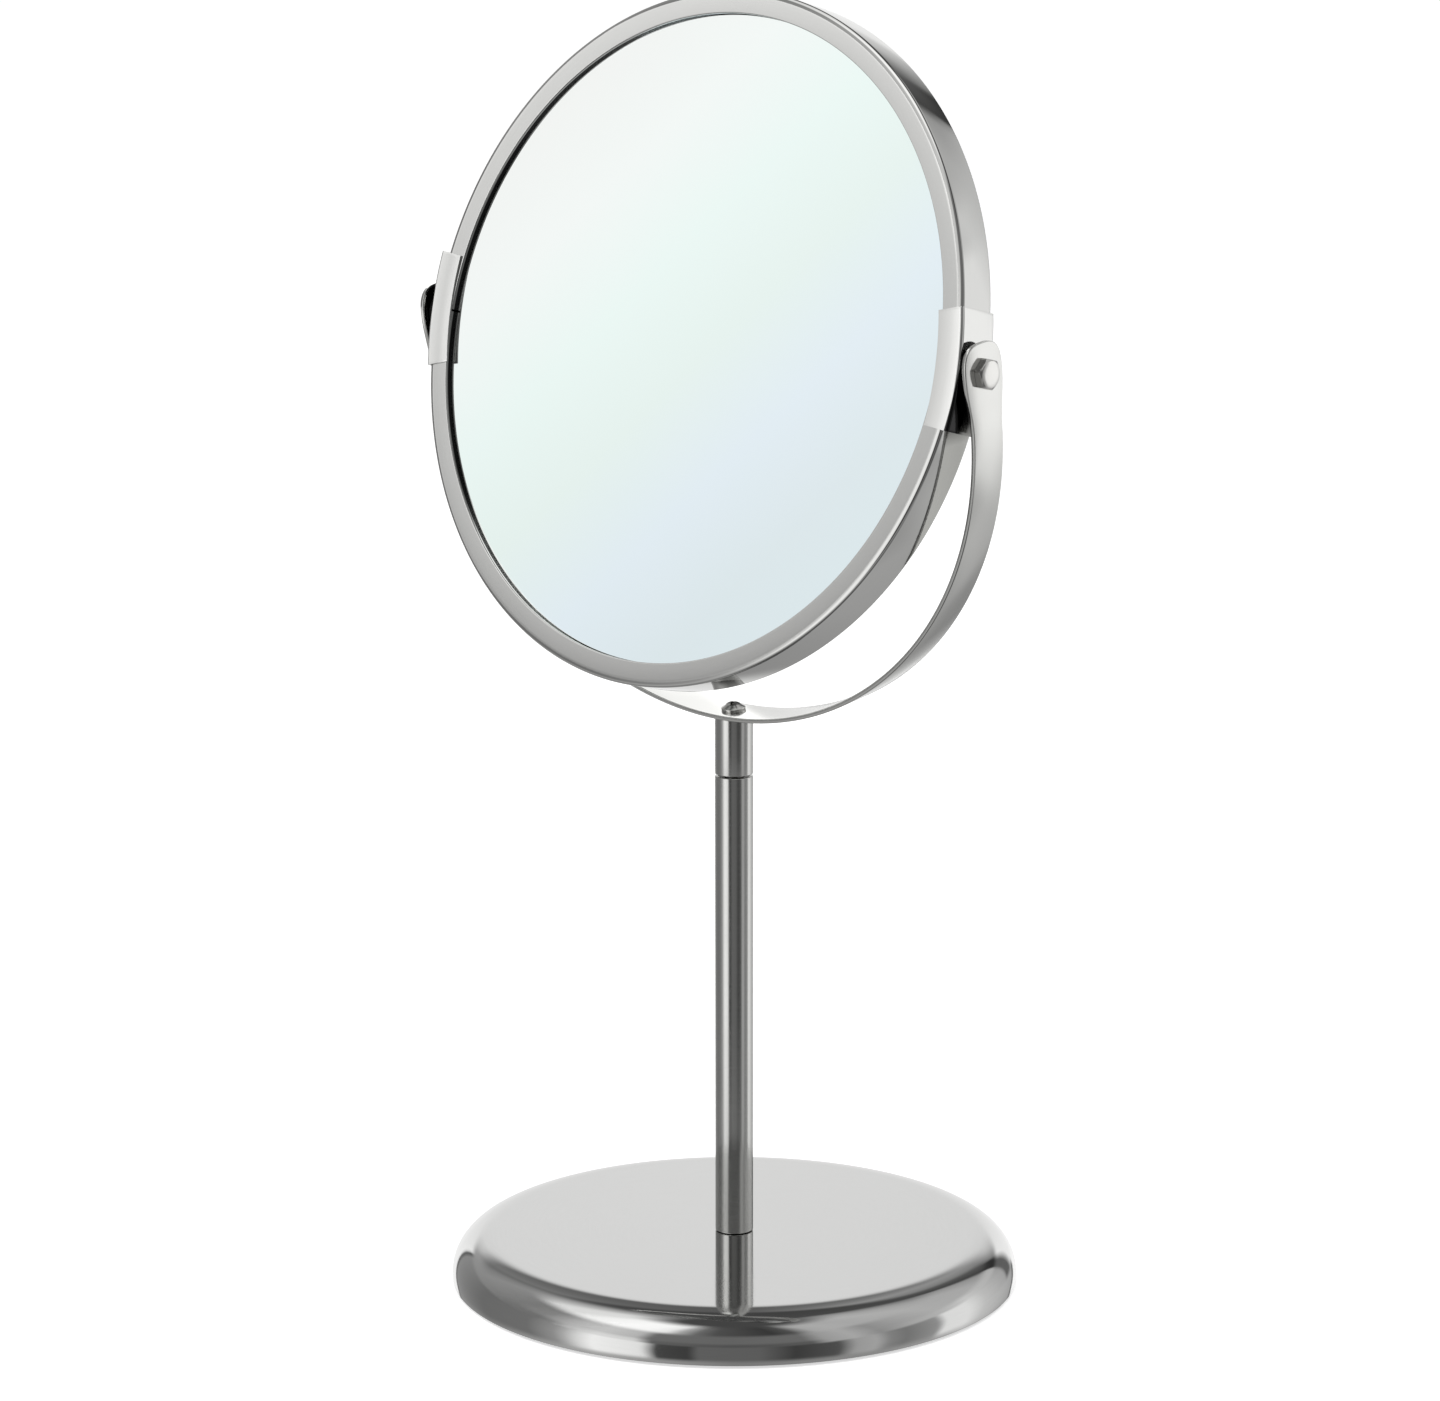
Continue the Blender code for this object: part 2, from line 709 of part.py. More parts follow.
pivot = frame("head_tilt_axis", yoke, (0, 0, PIVOT_RISE), (-HEAD_TILT, 0, 0))
head = frame("head_frame", pivot, rotation=(math.pi / 2, 0, 0))
head_bore(head)
rim_half("rim_upper", 0.0, head)
rim_half("rim_lower", math.pi, head)
plain_glass(head)
magnifying_glass(head)
spacer_ring(head)
backing_board(head)
for label, sign in (("left", -1), ("right", 1)):
    side_clip(f"side_clip_{label}", sign, head)
    pivot_block(f"pivot_block_{label}", sign, head)
    pivot_washer(f"pivot_washer_{label}", sign, head)
    pivot_bolt(f"pivot_bolt_{label}", sign, head)
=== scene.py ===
"""The looks of a round two-sided tabletop mirror: finer shapes for every piece that shows, procedural
finishes, a plain pale studio and the camera. Units are metres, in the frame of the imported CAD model."""

import math

import bmesh
import bpy
from mathutils import Matrix, Vector


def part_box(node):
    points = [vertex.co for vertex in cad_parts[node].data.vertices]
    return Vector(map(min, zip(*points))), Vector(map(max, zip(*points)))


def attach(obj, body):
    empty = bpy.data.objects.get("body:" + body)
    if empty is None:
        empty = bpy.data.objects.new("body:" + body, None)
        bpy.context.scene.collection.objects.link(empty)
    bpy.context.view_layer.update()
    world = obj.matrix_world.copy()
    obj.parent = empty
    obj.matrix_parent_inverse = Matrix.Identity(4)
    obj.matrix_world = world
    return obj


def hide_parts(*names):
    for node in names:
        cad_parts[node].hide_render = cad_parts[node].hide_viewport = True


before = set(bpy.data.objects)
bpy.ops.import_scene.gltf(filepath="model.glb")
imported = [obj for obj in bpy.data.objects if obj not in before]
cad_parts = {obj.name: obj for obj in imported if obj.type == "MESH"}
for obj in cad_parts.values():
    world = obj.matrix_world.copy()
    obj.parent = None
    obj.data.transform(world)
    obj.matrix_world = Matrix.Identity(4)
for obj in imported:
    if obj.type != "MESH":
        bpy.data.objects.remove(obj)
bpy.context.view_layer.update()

MM = 0.001

# Base and post
COVER_SHEET = 0.8 * MM
COVER_CORNER = 9.9 * MM
COVER_EASE = 6.0 * MM
COVER_HOLE = 3.0 * MM
COVER_HEM = 0.12 * MM
TUBE_WALL = 0.8 * MM

# Yoke: the strap's lowest outer point is the origin of the leaning frame
YOKE_FOOT = 148.8 * MM
YOKE_LEAN = math.radians(7.7)
STRAP_THICK = 1.2 * MM
STRAP_HALF_WIDTH = 5.4 * MM
STRAP_EDGE = 0.32 * MM
YOKE_HALF_SPAN = 91.0 * MM
YOKE_DEPTH = 85.8 * MM
PIVOT_RISE = 97.4 * MM
EAR_HALF_WIDTH = 6.9 * MM
EAR_RISE = 7.6 * MM
EAR_TAPER = 14.0 * MM
EAR_FULLNESS = 2.9
EAR_SHADE_DEPTH = 12.0 * MM
EAR_SHADE_HALF_WIDTH = 5.2 * MM
SCREW_SHANK = 1.4 * MM
SCREW_TIP = -10.0 * MM

# Mirror head, in a frame whose +Z is the plain side's outward direction
HEAD_TILT = math.radians(22.2)
RIM_RADIUS = 86.9 * MM
LIP_RADIUS = 80.9 * MM
HEAD_HALF_DEPTH = 5.7 * MM
RIM_SHEET = 0.7 * MM
RIM_ROUNDING = 0.9 * MM
RIM_EASE = 1.9 * MM
BEAD_INSET = 0.35 * MM
BEAD_SHADE = 84.0 * MM
RIM_JOINT = 0.6 * MM
GLASS_RADIUS = 85.3 * MM
GLASS_THICK = 1.8 * MM
SILVER_DEPTH = 1.55 * MM
MAGNIFIER_SAG = 3.6 * MM
CLIP_LENGTH = 30.0 * MM
CLIP_SHEET = 0.5 * MM
CLIP_OUTER = RIM_RADIUS + 1.3 * MM
CLIP_BEND = 0.9 * MM
CLIP_CORNER = 3.0 * MM
CLIP_TURN = math.radians(3.0)
WASHER_RADIUS = 5.2 * MM
WASHER_EDGE = 0.25 * MM
BOLT_RADIUS = 2.0 * MM
BOLT_HEX = 7.0 * MM
BOLT_HEAD = 2.1 * MM

# Camera and studio
CAMERA_PLACE = Vector((0.8125, -0.9045, 0.4029))
CAMERA_TURN = math.radians(42.10)
CAMERA_DOWN = math.radians(11.645)
CAMERA_ROLL = math.radians(-0.064)
CAMERA_LENS = 122.5
STUDIO_TURN = math.radians(41.9)
CARD_SIZE = 0.42
FLOOR_HALF = 6.0


# Frames that carry the pieces


def turned_frame(location, *turns):
    """A placing matrix: a move, then turns in order about named axes."""
    placed = Matrix.Translation(location)
    for angle, axis in turns:
        placed = placed @ Matrix.Rotation(angle, 4, axis)
    return placed


WORLD_FRAME = Matrix.Identity(4)
YOKE_FRAME = turned_frame((0, 0, YOKE_FOOT), (YOKE_LEAN, "X"))
PIVOT_FRAME = YOKE_FRAME @ turned_frame((0, 0, PIVOT_RISE), (-HEAD_TILT, "X"))
HEAD_FRAME = PIVOT_FRAME @ turned_frame((0, 0, 0), (math.pi / 2, "X"))


def side_frame(side):
    """The head's frame turned so that +Z runs out along the pivot axis, to the right (+1) or left (-1)."""
    return HEAD_FRAME @ Matrix.Rotation(side * math.pi / 2, 4, "Y")


# Shader building


class Shader:
    """A node tree with one call for adding a node and wiring it up."""

    def __init__(self, tree):
        self.tree = tree

    def add(self, kind, inputs=None, **settings):
        node = self.tree.nodes.new(kind)
        for key, value in settings.items():
            setattr(node, key, value)
        for key, value in (inputs or {}).items():
            self.feed(node.inputs[key], value)
        return node

    def feed(self, socket, value):
        if isinstance(value, bpy.types.NodeSocket):
            self.tree.links.new(value, socket)
        else:
            socket.default_value = value

    def maths(self, operation, *values, clamp=False):
        node = self.add("ShaderNodeMath", operation=operation, use_clamp=clamp)
        for socket, value in zip(node.inputs, values):
            self.feed(socket, value)
        return node.outputs[0]

    def noise(self, vector, scale, detail=2.0, roughness=0.5):
        inputs = {"Vector": vector, "Scale": scale, "Detail": detail, "Roughness": roughness}
        return self.add("ShaderNodeTexNoise", inputs).outputs["Fac"]

    def spread(self, value, low, high, start=0.0, end=1.0):
        """value carried from start..end to low..high."""
        inputs = {"Value": value, "From Min": start, "From Max": end, "To Min": low, "To Max": high}
        return self.add("ShaderNodeMapRange", inputs).outputs[0]

    def blend_colour(self, factor, first, second):
        node = self.add("ShaderNodeMix", data_type="RGBA")
        self.feed(node.inputs[0], factor)
        self.feed(node.inputs[6], first)
        self.feed(node.inputs[7], second)
        return node.outputs[2]

    def ramp(self, value, stops):
        node = self.add("ShaderNodeValToRGB", {"Fac": value})
        elements = node.color_ramp.elements
        elements[0].position, elements[1].position = stops[0][0], stops[-1][0]
        elements[0].color, elements[1].color = opaque(stops[0][1]), opaque(stops[-1][1])
        for place, colour in stops[1:-1]:
            elements.new(place).color = opaque(colour)
        return node.outputs["Color"]


def opaque(colour):
    """A grey level or an RGB colour as RGBA."""
    if isinstance(colour, (int, float)):
        return (colour, colour, colour, 1.0)
    return (*colour, 1.0)


def new_material(name, colour, roughness, metallic=0.0):
    """A material with a Principled shader, as (material, its Shader, the shader node)."""
    material = bpy.data.materials.new(name)
    material.use_nodes = True
    shader = Shader(material.node_tree)
    surface = material.node_tree.nodes["Principled BSDF"]
    surface.inputs["Base Color"].default_value = opaque(colour)
    surface.inputs["Roughness"].default_value = roughness
    surface.inputs["Metallic"].default_value = metallic
    return material, shader, surface


def object_place(shader):
    return shader.add("ShaderNodeTexCoord").outputs["Object"]


def split_place(shader):
    """The X, Y and Z of a point in the piece's own space."""
    return shader.add("ShaderNodeSeparateXYZ", {"Vector": object_place(shader)}).outputs


def flat_place(shader, x, y):
    """The vector of X and Y alone, and its length."""
    flat = shader.add("ShaderNodeCombineXYZ", {"X": x, "Y": y}).outputs[0]
    return flat, shader.add("ShaderNodeVectorMath", {0: flat}, operation="LENGTH").outputs["Value"]


def turned_place(shader, line_pitch, line_reach):
    """Coordinates whose noise runs in fine rings about the piece's own Z axis, with no seam."""
    split = split_place(shader)
    flat, radius = flat_place(shader, split["X"], split["Y"])
    around = shader.add("ShaderNodeVectorMath", {0: flat}, operation="NORMALIZE").outputs[0]
    fine = shader.maths("DIVIDE", shader.maths("SUBTRACT", radius, split["Z"]), line_pitch)
    sides = shader.add("ShaderNodeSeparateXYZ", {"Vector": around}).outputs
    inputs = {
        "X": shader.maths("MULTIPLY", sides["X"], line_reach),
        "Y": shader.maths("MULTIPLY", sides["Y"], line_reach),
        "Z": fine,
    }
    return shader.add("ShaderNodeCombineXYZ", inputs).outputs[0]


def straight_place(shader, scale):
    """Object coordinates stretched so that noise runs in fine lines along the axis of the smallest
    scale."""
    return shader.add("ShaderNodeMapping", {"Vector": object_place(shader), "Scale": scale}).outputs[0]


def bump(shader, surface, height, depth):
    node = shader.add("ShaderNodeBump", {"Height": height, "Distance": depth, "Strength": 1.0})
    shader.feed(surface.inputs["Normal"], node.outputs[0])


def steel(name, colour, roughness, lines, line_depth, line_share, cloud_share=0.25, painted_shade=None):
    """Stainless steel. lines(shader) gives the coordinates of its finishing lines; clouds of handling
    marks change the roughness over a few centimetres, and a few specks stand out. The last argument, if
    given, is where painted shade makes it nearly black, standing in for shade and dark reflections."""
    material, shader, surface = new_material(name, colour, roughness, 1.0)
    grain = shader.noise(lines(shader), 1.0, 3.0, 0.6)
    place = object_place(shader)
    clouds = shader.noise(place, 38.0, 3.0, 0.6)
    specks = shader.spread(shader.noise(place, 1400.0, 1.0), 0.0, 1.0, 0.70, 0.78)
    line_part = shader.spread(grain, 1.0 - line_share, 1.0 + line_share, 0.3, 0.7)
    cloud_part = shader.spread(clouds, 1.0 - cloud_share, 1.0 + cloud_share, 0.3, 0.7)
    total = shader.maths("MULTIPLY", shader.maths("MULTIPLY", line_part, cloud_part), roughness)
    shader.feed(surface.inputs["Roughness"], shader.maths("MULTIPLY_ADD", specks, 0.05, total, clamp=True))
    darker = tuple(part * 0.94 for part in colour)
    tone = shader.blend_colour(grain, opaque(darker), opaque(colour))
    # Painted shade: where the mask is 1 the colour turns nearly black, in place of shade and dark
    # reflections.
    if painted_shade:
        tone = shader.blend_colour(painted_shade(shader), tone, opaque(0.035))
    shader.feed(surface.inputs["Base Color"], tone)
    bump(shader, surface, grain, line_depth)
    return material


def polished_sheet():
    def lines(shader):
        return turned_place(shader, 0.45 * MM, 9.0)

    return steel("polished_sheet_steel", (0.635, 0.635, 0.628), 0.062, lines, 0.0000012, 0.10)


def ground_tube():
    def lines(shader):
        return turned_place(shader, 0.22 * MM, 2.0)

    return steel("ground_tube_steel", (0.63, 0.63, 0.615), 0.18, lines, 0.000003, 0.22)


def rim_steel():
    """Polished rim steel. The bead under the lips, which is part of the same piece, is painted nearly black
    as shade in the channel.
    """

    def lines(shader):
        return turned_place(shader, 0.20 * MM, 14.0)

    # Where the rim is painted nearly black as shade: the bead in the channel under the lips.
    def painted_bead_shade(shader):
        split = split_place(shader)
        radius = flat_place(shader, split["X"], split["Y"])[1]
        under_lip = HEAD_HALF_DEPTH - RIM_SHEET - 0.01 * MM
        deep = shader.maths("LESS_THAN", shader.maths("ABSOLUTE", split["Z"]), under_lip)
        return shader.maths("MULTIPLY", deep, shader.maths("LESS_THAN", radius, BEAD_SHADE))

    return steel("rolled_rim_steel", (0.635, 0.635, 0.622), 0.05, lines, 0.0000012, 0.2, 0.25, painted_bead_shade)


def strap_steel():
    """Brushed strap steel with painted shade: nearly black on the inside of each ear except along its
    edges, in place of the shade and dark reflections between ear and clip.
    """

    def lines(shader):
        return straight_place(shader, (45.0, 4200.0, 45.0))

    # Where the strap is painted nearly black as shade and dark reflection: the inside of each ear.
    def painted_ear_shade(shader):
        split = split_place(shader)
        inner_face = YOKE_HALF_SPAN - STRAP_THICK + STRAP_EDGE
        inside = shader.maths("LESS_THAN", shader.maths("ABSOLUTE", split["X"]), inner_face)
        shade_low = PIVOT_RISE - EAR_SHADE_DEPTH
        high = shader.spread(split["Z"], 0.0, 1.0, shade_low - 8 * MM, shade_low)
        across = shader.maths("ABSOLUTE", split["Y"])
        middle = shader.spread(across, 1.0, 0.0, EAR_SHADE_HALF_WIDTH, EAR_SHADE_HALF_WIDTH + 0.6 * MM)
        return shader.maths("MULTIPLY", inside, shader.maths("MULTIPLY", high, middle))

    return steel("brushed_strap_steel", (0.63, 0.63, 0.613), 0.15, lines, 0.000003, 0.25, 0.25, painted_ear_shade)


def clip_steel(label, side):
    """Polished clip steel. The front of the web is painted nearly black from the bolt down to the clip's
    lower end, as painted shade and painted dark reflection of the arm; the left and right copies differ
    only in where this lies.
    """

    def lines(shader):
        return straight_place(shader, (3600.0, 60.0, 3600.0))

    # Where the clip is painted nearly black as shade and dark reflection: the web's front below the bolt.
    def painted_web_shade(shader):
        split = split_place(shader)
        radius = flat_place(shader, split["X"], split["Y"])[1]
        web = shader.spread(radius, 0.0, 1.0, CLIP_OUTER - 0.30 * MM, CLIP_OUTER - 0.10 * MM)
        below = shader.spread(shader.maths("MULTIPLY", split["Y"], -side), 0.0, 1.0, -1.0 * MM, 0.5 * MM)
        front = shader.spread(split["Z"], 0.0, 1.0, 0.0, 2.5 * MM)
        return shader.maths("MULTIPLY", web, shader.maths("MULTIPLY", below, front))

    name = f"folded_clip_steel_{label}"
    return steel(name, (0.76, 0.76, 0.745), 0.09, lines, 0.0000018, 0.2, 0.25, painted_web_shade)


def plated_bolt():
    def lines(shader):
        return turned_place(shader, 0.16 * MM, 3.0)

    return steel("nickel_plated_fastener", (0.66, 0.655, 0.635), 0.15, lines, 0.000003, 0.25, 0.35)


def black_nylon():
    """The washers' nylon, with hardly any shine."""
    material = moulded_plastic("black_nylon", (0.012, 0.012, 0.012), 0.7, 0.00002)
    material.node_tree.nodes["Principled BSDF"].inputs["Specular IOR Level"].default_value = 0.03
    return material


def zinc_plate():
    """Hidden fasteners: zinc plating with a faint blue and straw spangle."""
    material, shader, surface = new_material("zinc_plated_steel", (0.60, 0.61, 0.62), 0.32, 1.0)
    spangle = shader.noise(object_place(shader), 420.0, 2.0)
    tint = shader.blend_colour(spangle, opaque((0.56, 0.59, 0.64)), opaque((0.66, 0.64, 0.56)))
    shader.feed(surface.inputs["Base Color"], tint)
    shader.feed(surface.inputs["Roughness"], shader.spread(spangle, 0.24, 0.42, 0.3, 0.7))
    bump(shader, surface, shader.noise(object_place(shader), 2600.0, 2.0), 0.000008)
    return material


def mirror_silver():
    """Silvered glass seen through its clear face: near-perfect, with a faint green cast and a veil of
    fine dust."""
    material, shader, surface = new_material("silvered_glass", (0.93, 0.955, 0.945), 0.008, 1.0)
    place = object_place(shader)
    veil = shader.noise(place, 30.0, 4.0, 0.6)
    dust = shader.spread(shader.noise(place, 2200.0, 1.0), 0.0, 1.0, 0.74, 0.80)
    haze = shader.spread(veil, 0.004, 0.016, 0.35, 0.75)
    shader.feed(surface.inputs["Roughness"], shader.maths("MULTIPLY_ADD", dust, 0.03, haze, clamp=True))
    cast = shader.blend_colour(veil, opaque((0.925, 0.952, 0.940)), opaque((0.935, 0.955, 0.952)))
    shader.feed(surface.inputs["Base Color"], cast)
    surface.inputs["Coat Weight"].default_value = 0.6
    surface.inputs["Coat Roughness"].default_value = 0.01
    return material


def cast_iron():
    material, shader, surface = new_material("sand_cast_iron", (0.13, 0.13, 0.135), 0.7, 0.6)
    place = object_place(shader)
    coarse = shader.noise(place, 180.0, 4.0, 0.65)
    pits = shader.noise(place, 900.0, 2.0)
    tone = shader.blend_colour(coarse, opaque((0.07, 0.07, 0.075)), opaque((0.20, 0.19, 0.185)))
    shader.feed(surface.inputs["Base Color"], tone)
    shader.feed(surface.inputs["Roughness"], shader.spread(pits, 0.55, 0.85, 0.3, 0.7))
    bump(shader, surface, shader.maths("ADD", coarse, pits), 0.00025)
    return material


def moulded_plastic(name, colour, roughness, texture_depth):
    """Injection-moulded plastic with a fine spark-eroded grain and a slow change of gloss."""
    material, shader, surface = new_material(name, colour, roughness)
    place = object_place(shader)
    grain = shader.noise(place, 1900.0, 2.0, 0.6)
    gloss = shader.noise(place, 55.0, 3.0)
    shade = tuple(part * 0.86 for part in colour)
    shader.feed(surface.inputs["Base Color"], shader.blend_colour(grain, opaque(shade), opaque(colour)))
    shader.feed(surface.inputs["Roughness"], shader.spread(gloss, roughness * 0.8, roughness * 1.2, 0.3, 0.7))
    bump(shader, surface, grain, texture_depth)
    return material


def foam_sheet():
    """Closed-cell foam: small cells in two sizes over a matt dark grey."""
    material, shader, surface = new_material("closed_cell_foam", (0.16, 0.16, 0.17), 0.95)
    place = object_place(shader)
    cells = shader.add("ShaderNodeTexVoronoi", {"Vector": place, "Scale": 1500.0}).outputs["Distance"]
    patches = shader.noise(place, 90.0, 3.0)
    tone = shader.blend_colour(cells, opaque((0.09, 0.09, 0.095)), opaque((0.22, 0.22, 0.23)))
    shader.feed(surface.inputs["Base Color"], tone)
    shader.feed(surface.inputs["Roughness"], shader.spread(patches, 0.85, 1.0, 0.3, 0.7))
    bump(shader, surface, cells, 0.00015)
    return material


def grey_board():
    """Pressed paper board with short fibres."""
    material, shader, surface = new_material("grey_board", (0.42, 0.40, 0.37), 0.92)
    fibres = shader.noise(straight_place(shader, (900.0, 260.0, 900.0)), 1.0, 4.0, 0.7)
    tone = shader.blend_colour(fibres, opaque((0.33, 0.31, 0.29)), opaque((0.52, 0.50, 0.46)))
    shader.feed(surface.inputs["Base Color"], tone)
    shader.feed(surface.inputs["Roughness"], shader.spread(fibres, 0.85, 0.98, 0.3, 0.7))
    bump(shader, surface, fibres, 0.00006)
    return material


# Mesh building


def add_object(name, data):
    made = bpy.data.objects.new(name, data)
    bpy.context.scene.collection.objects.link(made)
    return made


def place_piece(name, mesh, material, body, nodes, placed=WORLD_FRAME, sharp=32):
    """An object made from a mesh, shaded, put in place, riding on a body and standing for CAD nodes."""
    made = add_object(name, mesh)
    made.matrix_world = placed
    mesh.materials.clear()
    mesh.materials.append(material)
    mesh.shade_smooth()
    mesh.set_sharp_from_angle(angle=math.radians(sharp))
    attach(made, body)
    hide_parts(*nodes)
    return made


def finished_mesh(name, shape):
    """The mesh of a bmesh, welded, with its faces turned outward."""
    mesh = bpy.data.meshes.new(name)
    bmesh.ops.remove_doubles(shape, verts=shape.verts, dist=1e-7)
    bmesh.ops.recalc_face_normals(shape, faces=shape.faces)
    shape.to_mesh(mesh)
    shape.free()
    return mesh


def face_of(shape, verts):
    """A face of the distinct vertices in a list, or nothing if fewer than three are left."""
    corners = []
    for vert in verts:
        if vert not in corners:
            corners.append(vert)
    if len(corners) > 2:
        shape.faces.new(corners)


def stitch(shape, rows, wrap_rows=False, wrap_columns=True):
    """Quads between neighbouring rows of vertices."""
    following = rows[1:] + (rows[:1] if wrap_rows else [])
    for here, there in zip(rows, following):
        count = len(here)
        for j in range(count if wrap_columns else count - 1):
            k = (j + 1) % count
            face_of(shape, (here[j], here[k], there[k], there[j]))


def revolve(name, profile, steps, start=0.0, turn=math.tau, closed=True):
    """A profile of (radius, height) points turned about Z. A part turn is capped at both ends."""
    shape = bmesh.new()
    whole = turn > math.tau - 1e-6
    axis_points = {}
    columns = []
    for i in range(steps if whole else steps + 1):
        angle = start + turn * i / steps
        column = []
        for j, (radius, height) in enumerate(profile):
            if radius < 1e-9:
                if j not in axis_points:
                    axis_points[j] = shape.verts.new((0, 0, height))
                column.append(axis_points[j])
            else:
                column.append(shape.verts.new((radius * math.cos(angle), radius * math.sin(angle), height)))
        columns.append(column)
    stitch(shape, columns, wrap_rows=whole, wrap_columns=closed)
    if not whole:
        face_of(shape, columns[0])
        face_of(shape, list(reversed(columns[-1])))
    return finished_mesh(name, shape)


def arc(centre, radius, start, end, steps):
    """Points on an arc from start to end, in degrees."""
    points = []
    for i in range(steps + 1):
        angle = math.radians(start + (end - start) * i / steps)
        points.append((centre[0] + radius * math.cos(angle), centre[1] + radius * math.sin(angle)))
    return points


def prism(name, outline, bottom, top):
    """An outline of (x, y) points raised from bottom to top along Z."""
    shape = bmesh.new()
    low = [shape.verts.new((x, y, bottom)) for x, y in outline]
    high = [shape.verts.new((x, y, top)) for x, y in outline]
    face_of(shape, low)
    face_of(shape, high)
    stitch(shape, [low, high])
    return finished_mesh(name, shape)


def combine(mesh, *changes):
    """mesh after exact booleans with (operation, other mesh, placing matrix), as a new mesh."""
    body = add_object("boolean_body", mesh)
    helpers = []
    for operation, other, placed in changes:
        helper = add_object("boolean_tool", other)
        helper.matrix_world = placed
        helpers.append(helper)
        change = body.modifiers.new(operation.lower(), "BOOLEAN")
        change.operation = operation
        change.solver = "EXACT"
        change.object = helper
    return evaluated_mesh(body, helpers)


def evaluated_mesh(body, helpers=()):
    """The final mesh of an object with modifiers. The object and its helpers are removed."""
    bpy.context.view_layer.update()
    graph = bpy.context.evaluated_depsgraph_get()
    made = bpy.data.meshes.new_from_object(body.evaluated_get(graph))
    for used in (body, *helpers):
        bpy.data.objects.remove(used, do_unlink=True)
    return made


def soften_edges(mesh, width):
    """mesh with its sharp edges rounded off."""
    body = add_object("softened_body", mesh)
    change = body.modifiers.new("edges", "BEVEL")
    change.width = width
    change.segments = 2
    change.limit_method = "ANGLE"
    change.angle_limit = math.radians(40)
    return evaluated_mesh(body)


def square_sheet(name, half):
    """A single square face about the origin, facing up."""
    shape = bmesh.new()
    corners = [shape.verts.new((x * half, y * half, 0)) for x, y in ((-1, -1), (1, -1), (1, 1), (-1, 1))]
    shape.faces.new(corners)
    mesh = bpy.data.meshes.new(name)
    shape.to_mesh(mesh)
    shape.free()
    return add_object(name, mesh)


def drill(name, radius, bottom, top):
    """A round cutter."""
    return prism(name, arc((0.0, 0.0), radius, 0, 352.5, 47), bottom, top)


# Base and post


def shoulder_curve(outer_radius, top, sheet_inset=0.0):
    """(radius, height) points of the cover's shoulder from its upright side to the flat top. The curve is
    a true arc that eases out into the flat, as drawn sheet does."""
    points = []
    turn_rate = 1 / COVER_CORNER
    ease_turn = COVER_EASE * turn_rate / 2
    arc_length = (math.pi / 2 - ease_turn) * COVER_CORNER
    total = arc_length + COVER_EASE
    steps = 64
    radius, height, slope = outer_radius, 0.0, math.pi / 2
    points.append((radius, height, slope))
    for i in range(steps):
        travelled = total * (i + 0.5) / steps
        left = min(max((total - travelled) / COVER_EASE, 0.0), 1.0)
        step = total / steps
        slope -= turn_rate * left * step / 2
        radius -= math.cos(slope) * step
        height += math.sin(slope) * step
        slope -= turn_rate * left * step / 2
        points.append((radius, height, slope))
    lift = top - points[-1][1]
    shifted = []
    for r, z, angle in points:
        outward = Vector((math.sin(angle), math.cos(angle))) * sheet_inset
        shifted.append((r - outward.x, z + lift - outward.y))
    return shifted


def base_cover():
    low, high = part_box("base_cover")
    outside = shoulder_curve(high.x, high.z)
    inside = shoulder_curve(high.x, high.z, COVER_SHEET)
    hem = arc((high.x - COVER_HEM, low.z + COVER_HEM), COVER_HEM, 0, -90, 4) + [(high.x - COVER_SHEET, low.z)]
    profile = [(COVER_HOLE, high.z)] + outside[::-1] + hem + inside + [(COVER_HOLE, high.z - COVER_SHEET)]
    mesh = revolve("base_cover_sheet", profile, 256)
    place_piece("base_cover_sheet", mesh, polished_sheet(), "base", ["base_cover"])


def base_plate():
    low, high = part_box("base_plate")
    top = low.z + 1.6 * MM
    profile = [(7.6 * MM, top), (40 * MM, top), (40 * MM, high.z), (42 * MM, high.z), (42 * MM, top)]
    profile += [(high.x - 0.4 * MM, top), (high.x, top - 0.4 * MM), (high.x, low.z + 0.3 * MM)]
    profile += [(high.x - 0.3 * MM, low.z), (7.6 * MM, low.z)]
    mesh = revolve("moulded_base_plate", profile, 128)
    plastic = moulded_plastic("black_base_plastic", (0.035, 0.035, 0.038), 0.5, 0.00003)
    place_piece("moulded_base_plate", mesh, plastic, "base", ["base_plate"])


def foot_pad():
    low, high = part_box("foot_pad")
    profile = [(0.0, high.z), (high.x - 0.25 * MM, high.z)]
    profile += arc((high.x - 0.25 * MM, high.z - 0.25 * MM), 0.25 * MM, 60, 0, 3)
    profile += arc((high.x - 0.15 * MM, low.z + 0.15 * MM), 0.15 * MM, 0, -90, 3) + [(0.0, low.z)]
    mesh = revolve("foam_foot_pad", profile, 128)
    place_piece("foam_foot_pad", mesh, foam_sheet(), "base", ["foot_pad"])


def post_tube(material):
    low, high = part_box("post_tube")
    radius, bore = high.x, high.x - TUBE_WALL
    foot = low.z - 0.15 * MM
    profile = [(bore, high.z), (radius - 0.2 * MM, high.z)]
    profile += arc((radius - 0.2 * MM, high.z - 0.2 * MM), 0.2 * MM, 75, 0, 4)
    profile += arc((radius - 0.25 * MM, foot + 0.25 * MM), 0.25 * MM, 0, -75, 4)
    profile += [(radius - 0.3 * MM, foot), (bore, foot)]
    mesh = revolve("post_tube_ground", profile, 128)
    place_piece("post_tube_ground", mesh, material, "base", ["post_tube"])


# Yoke


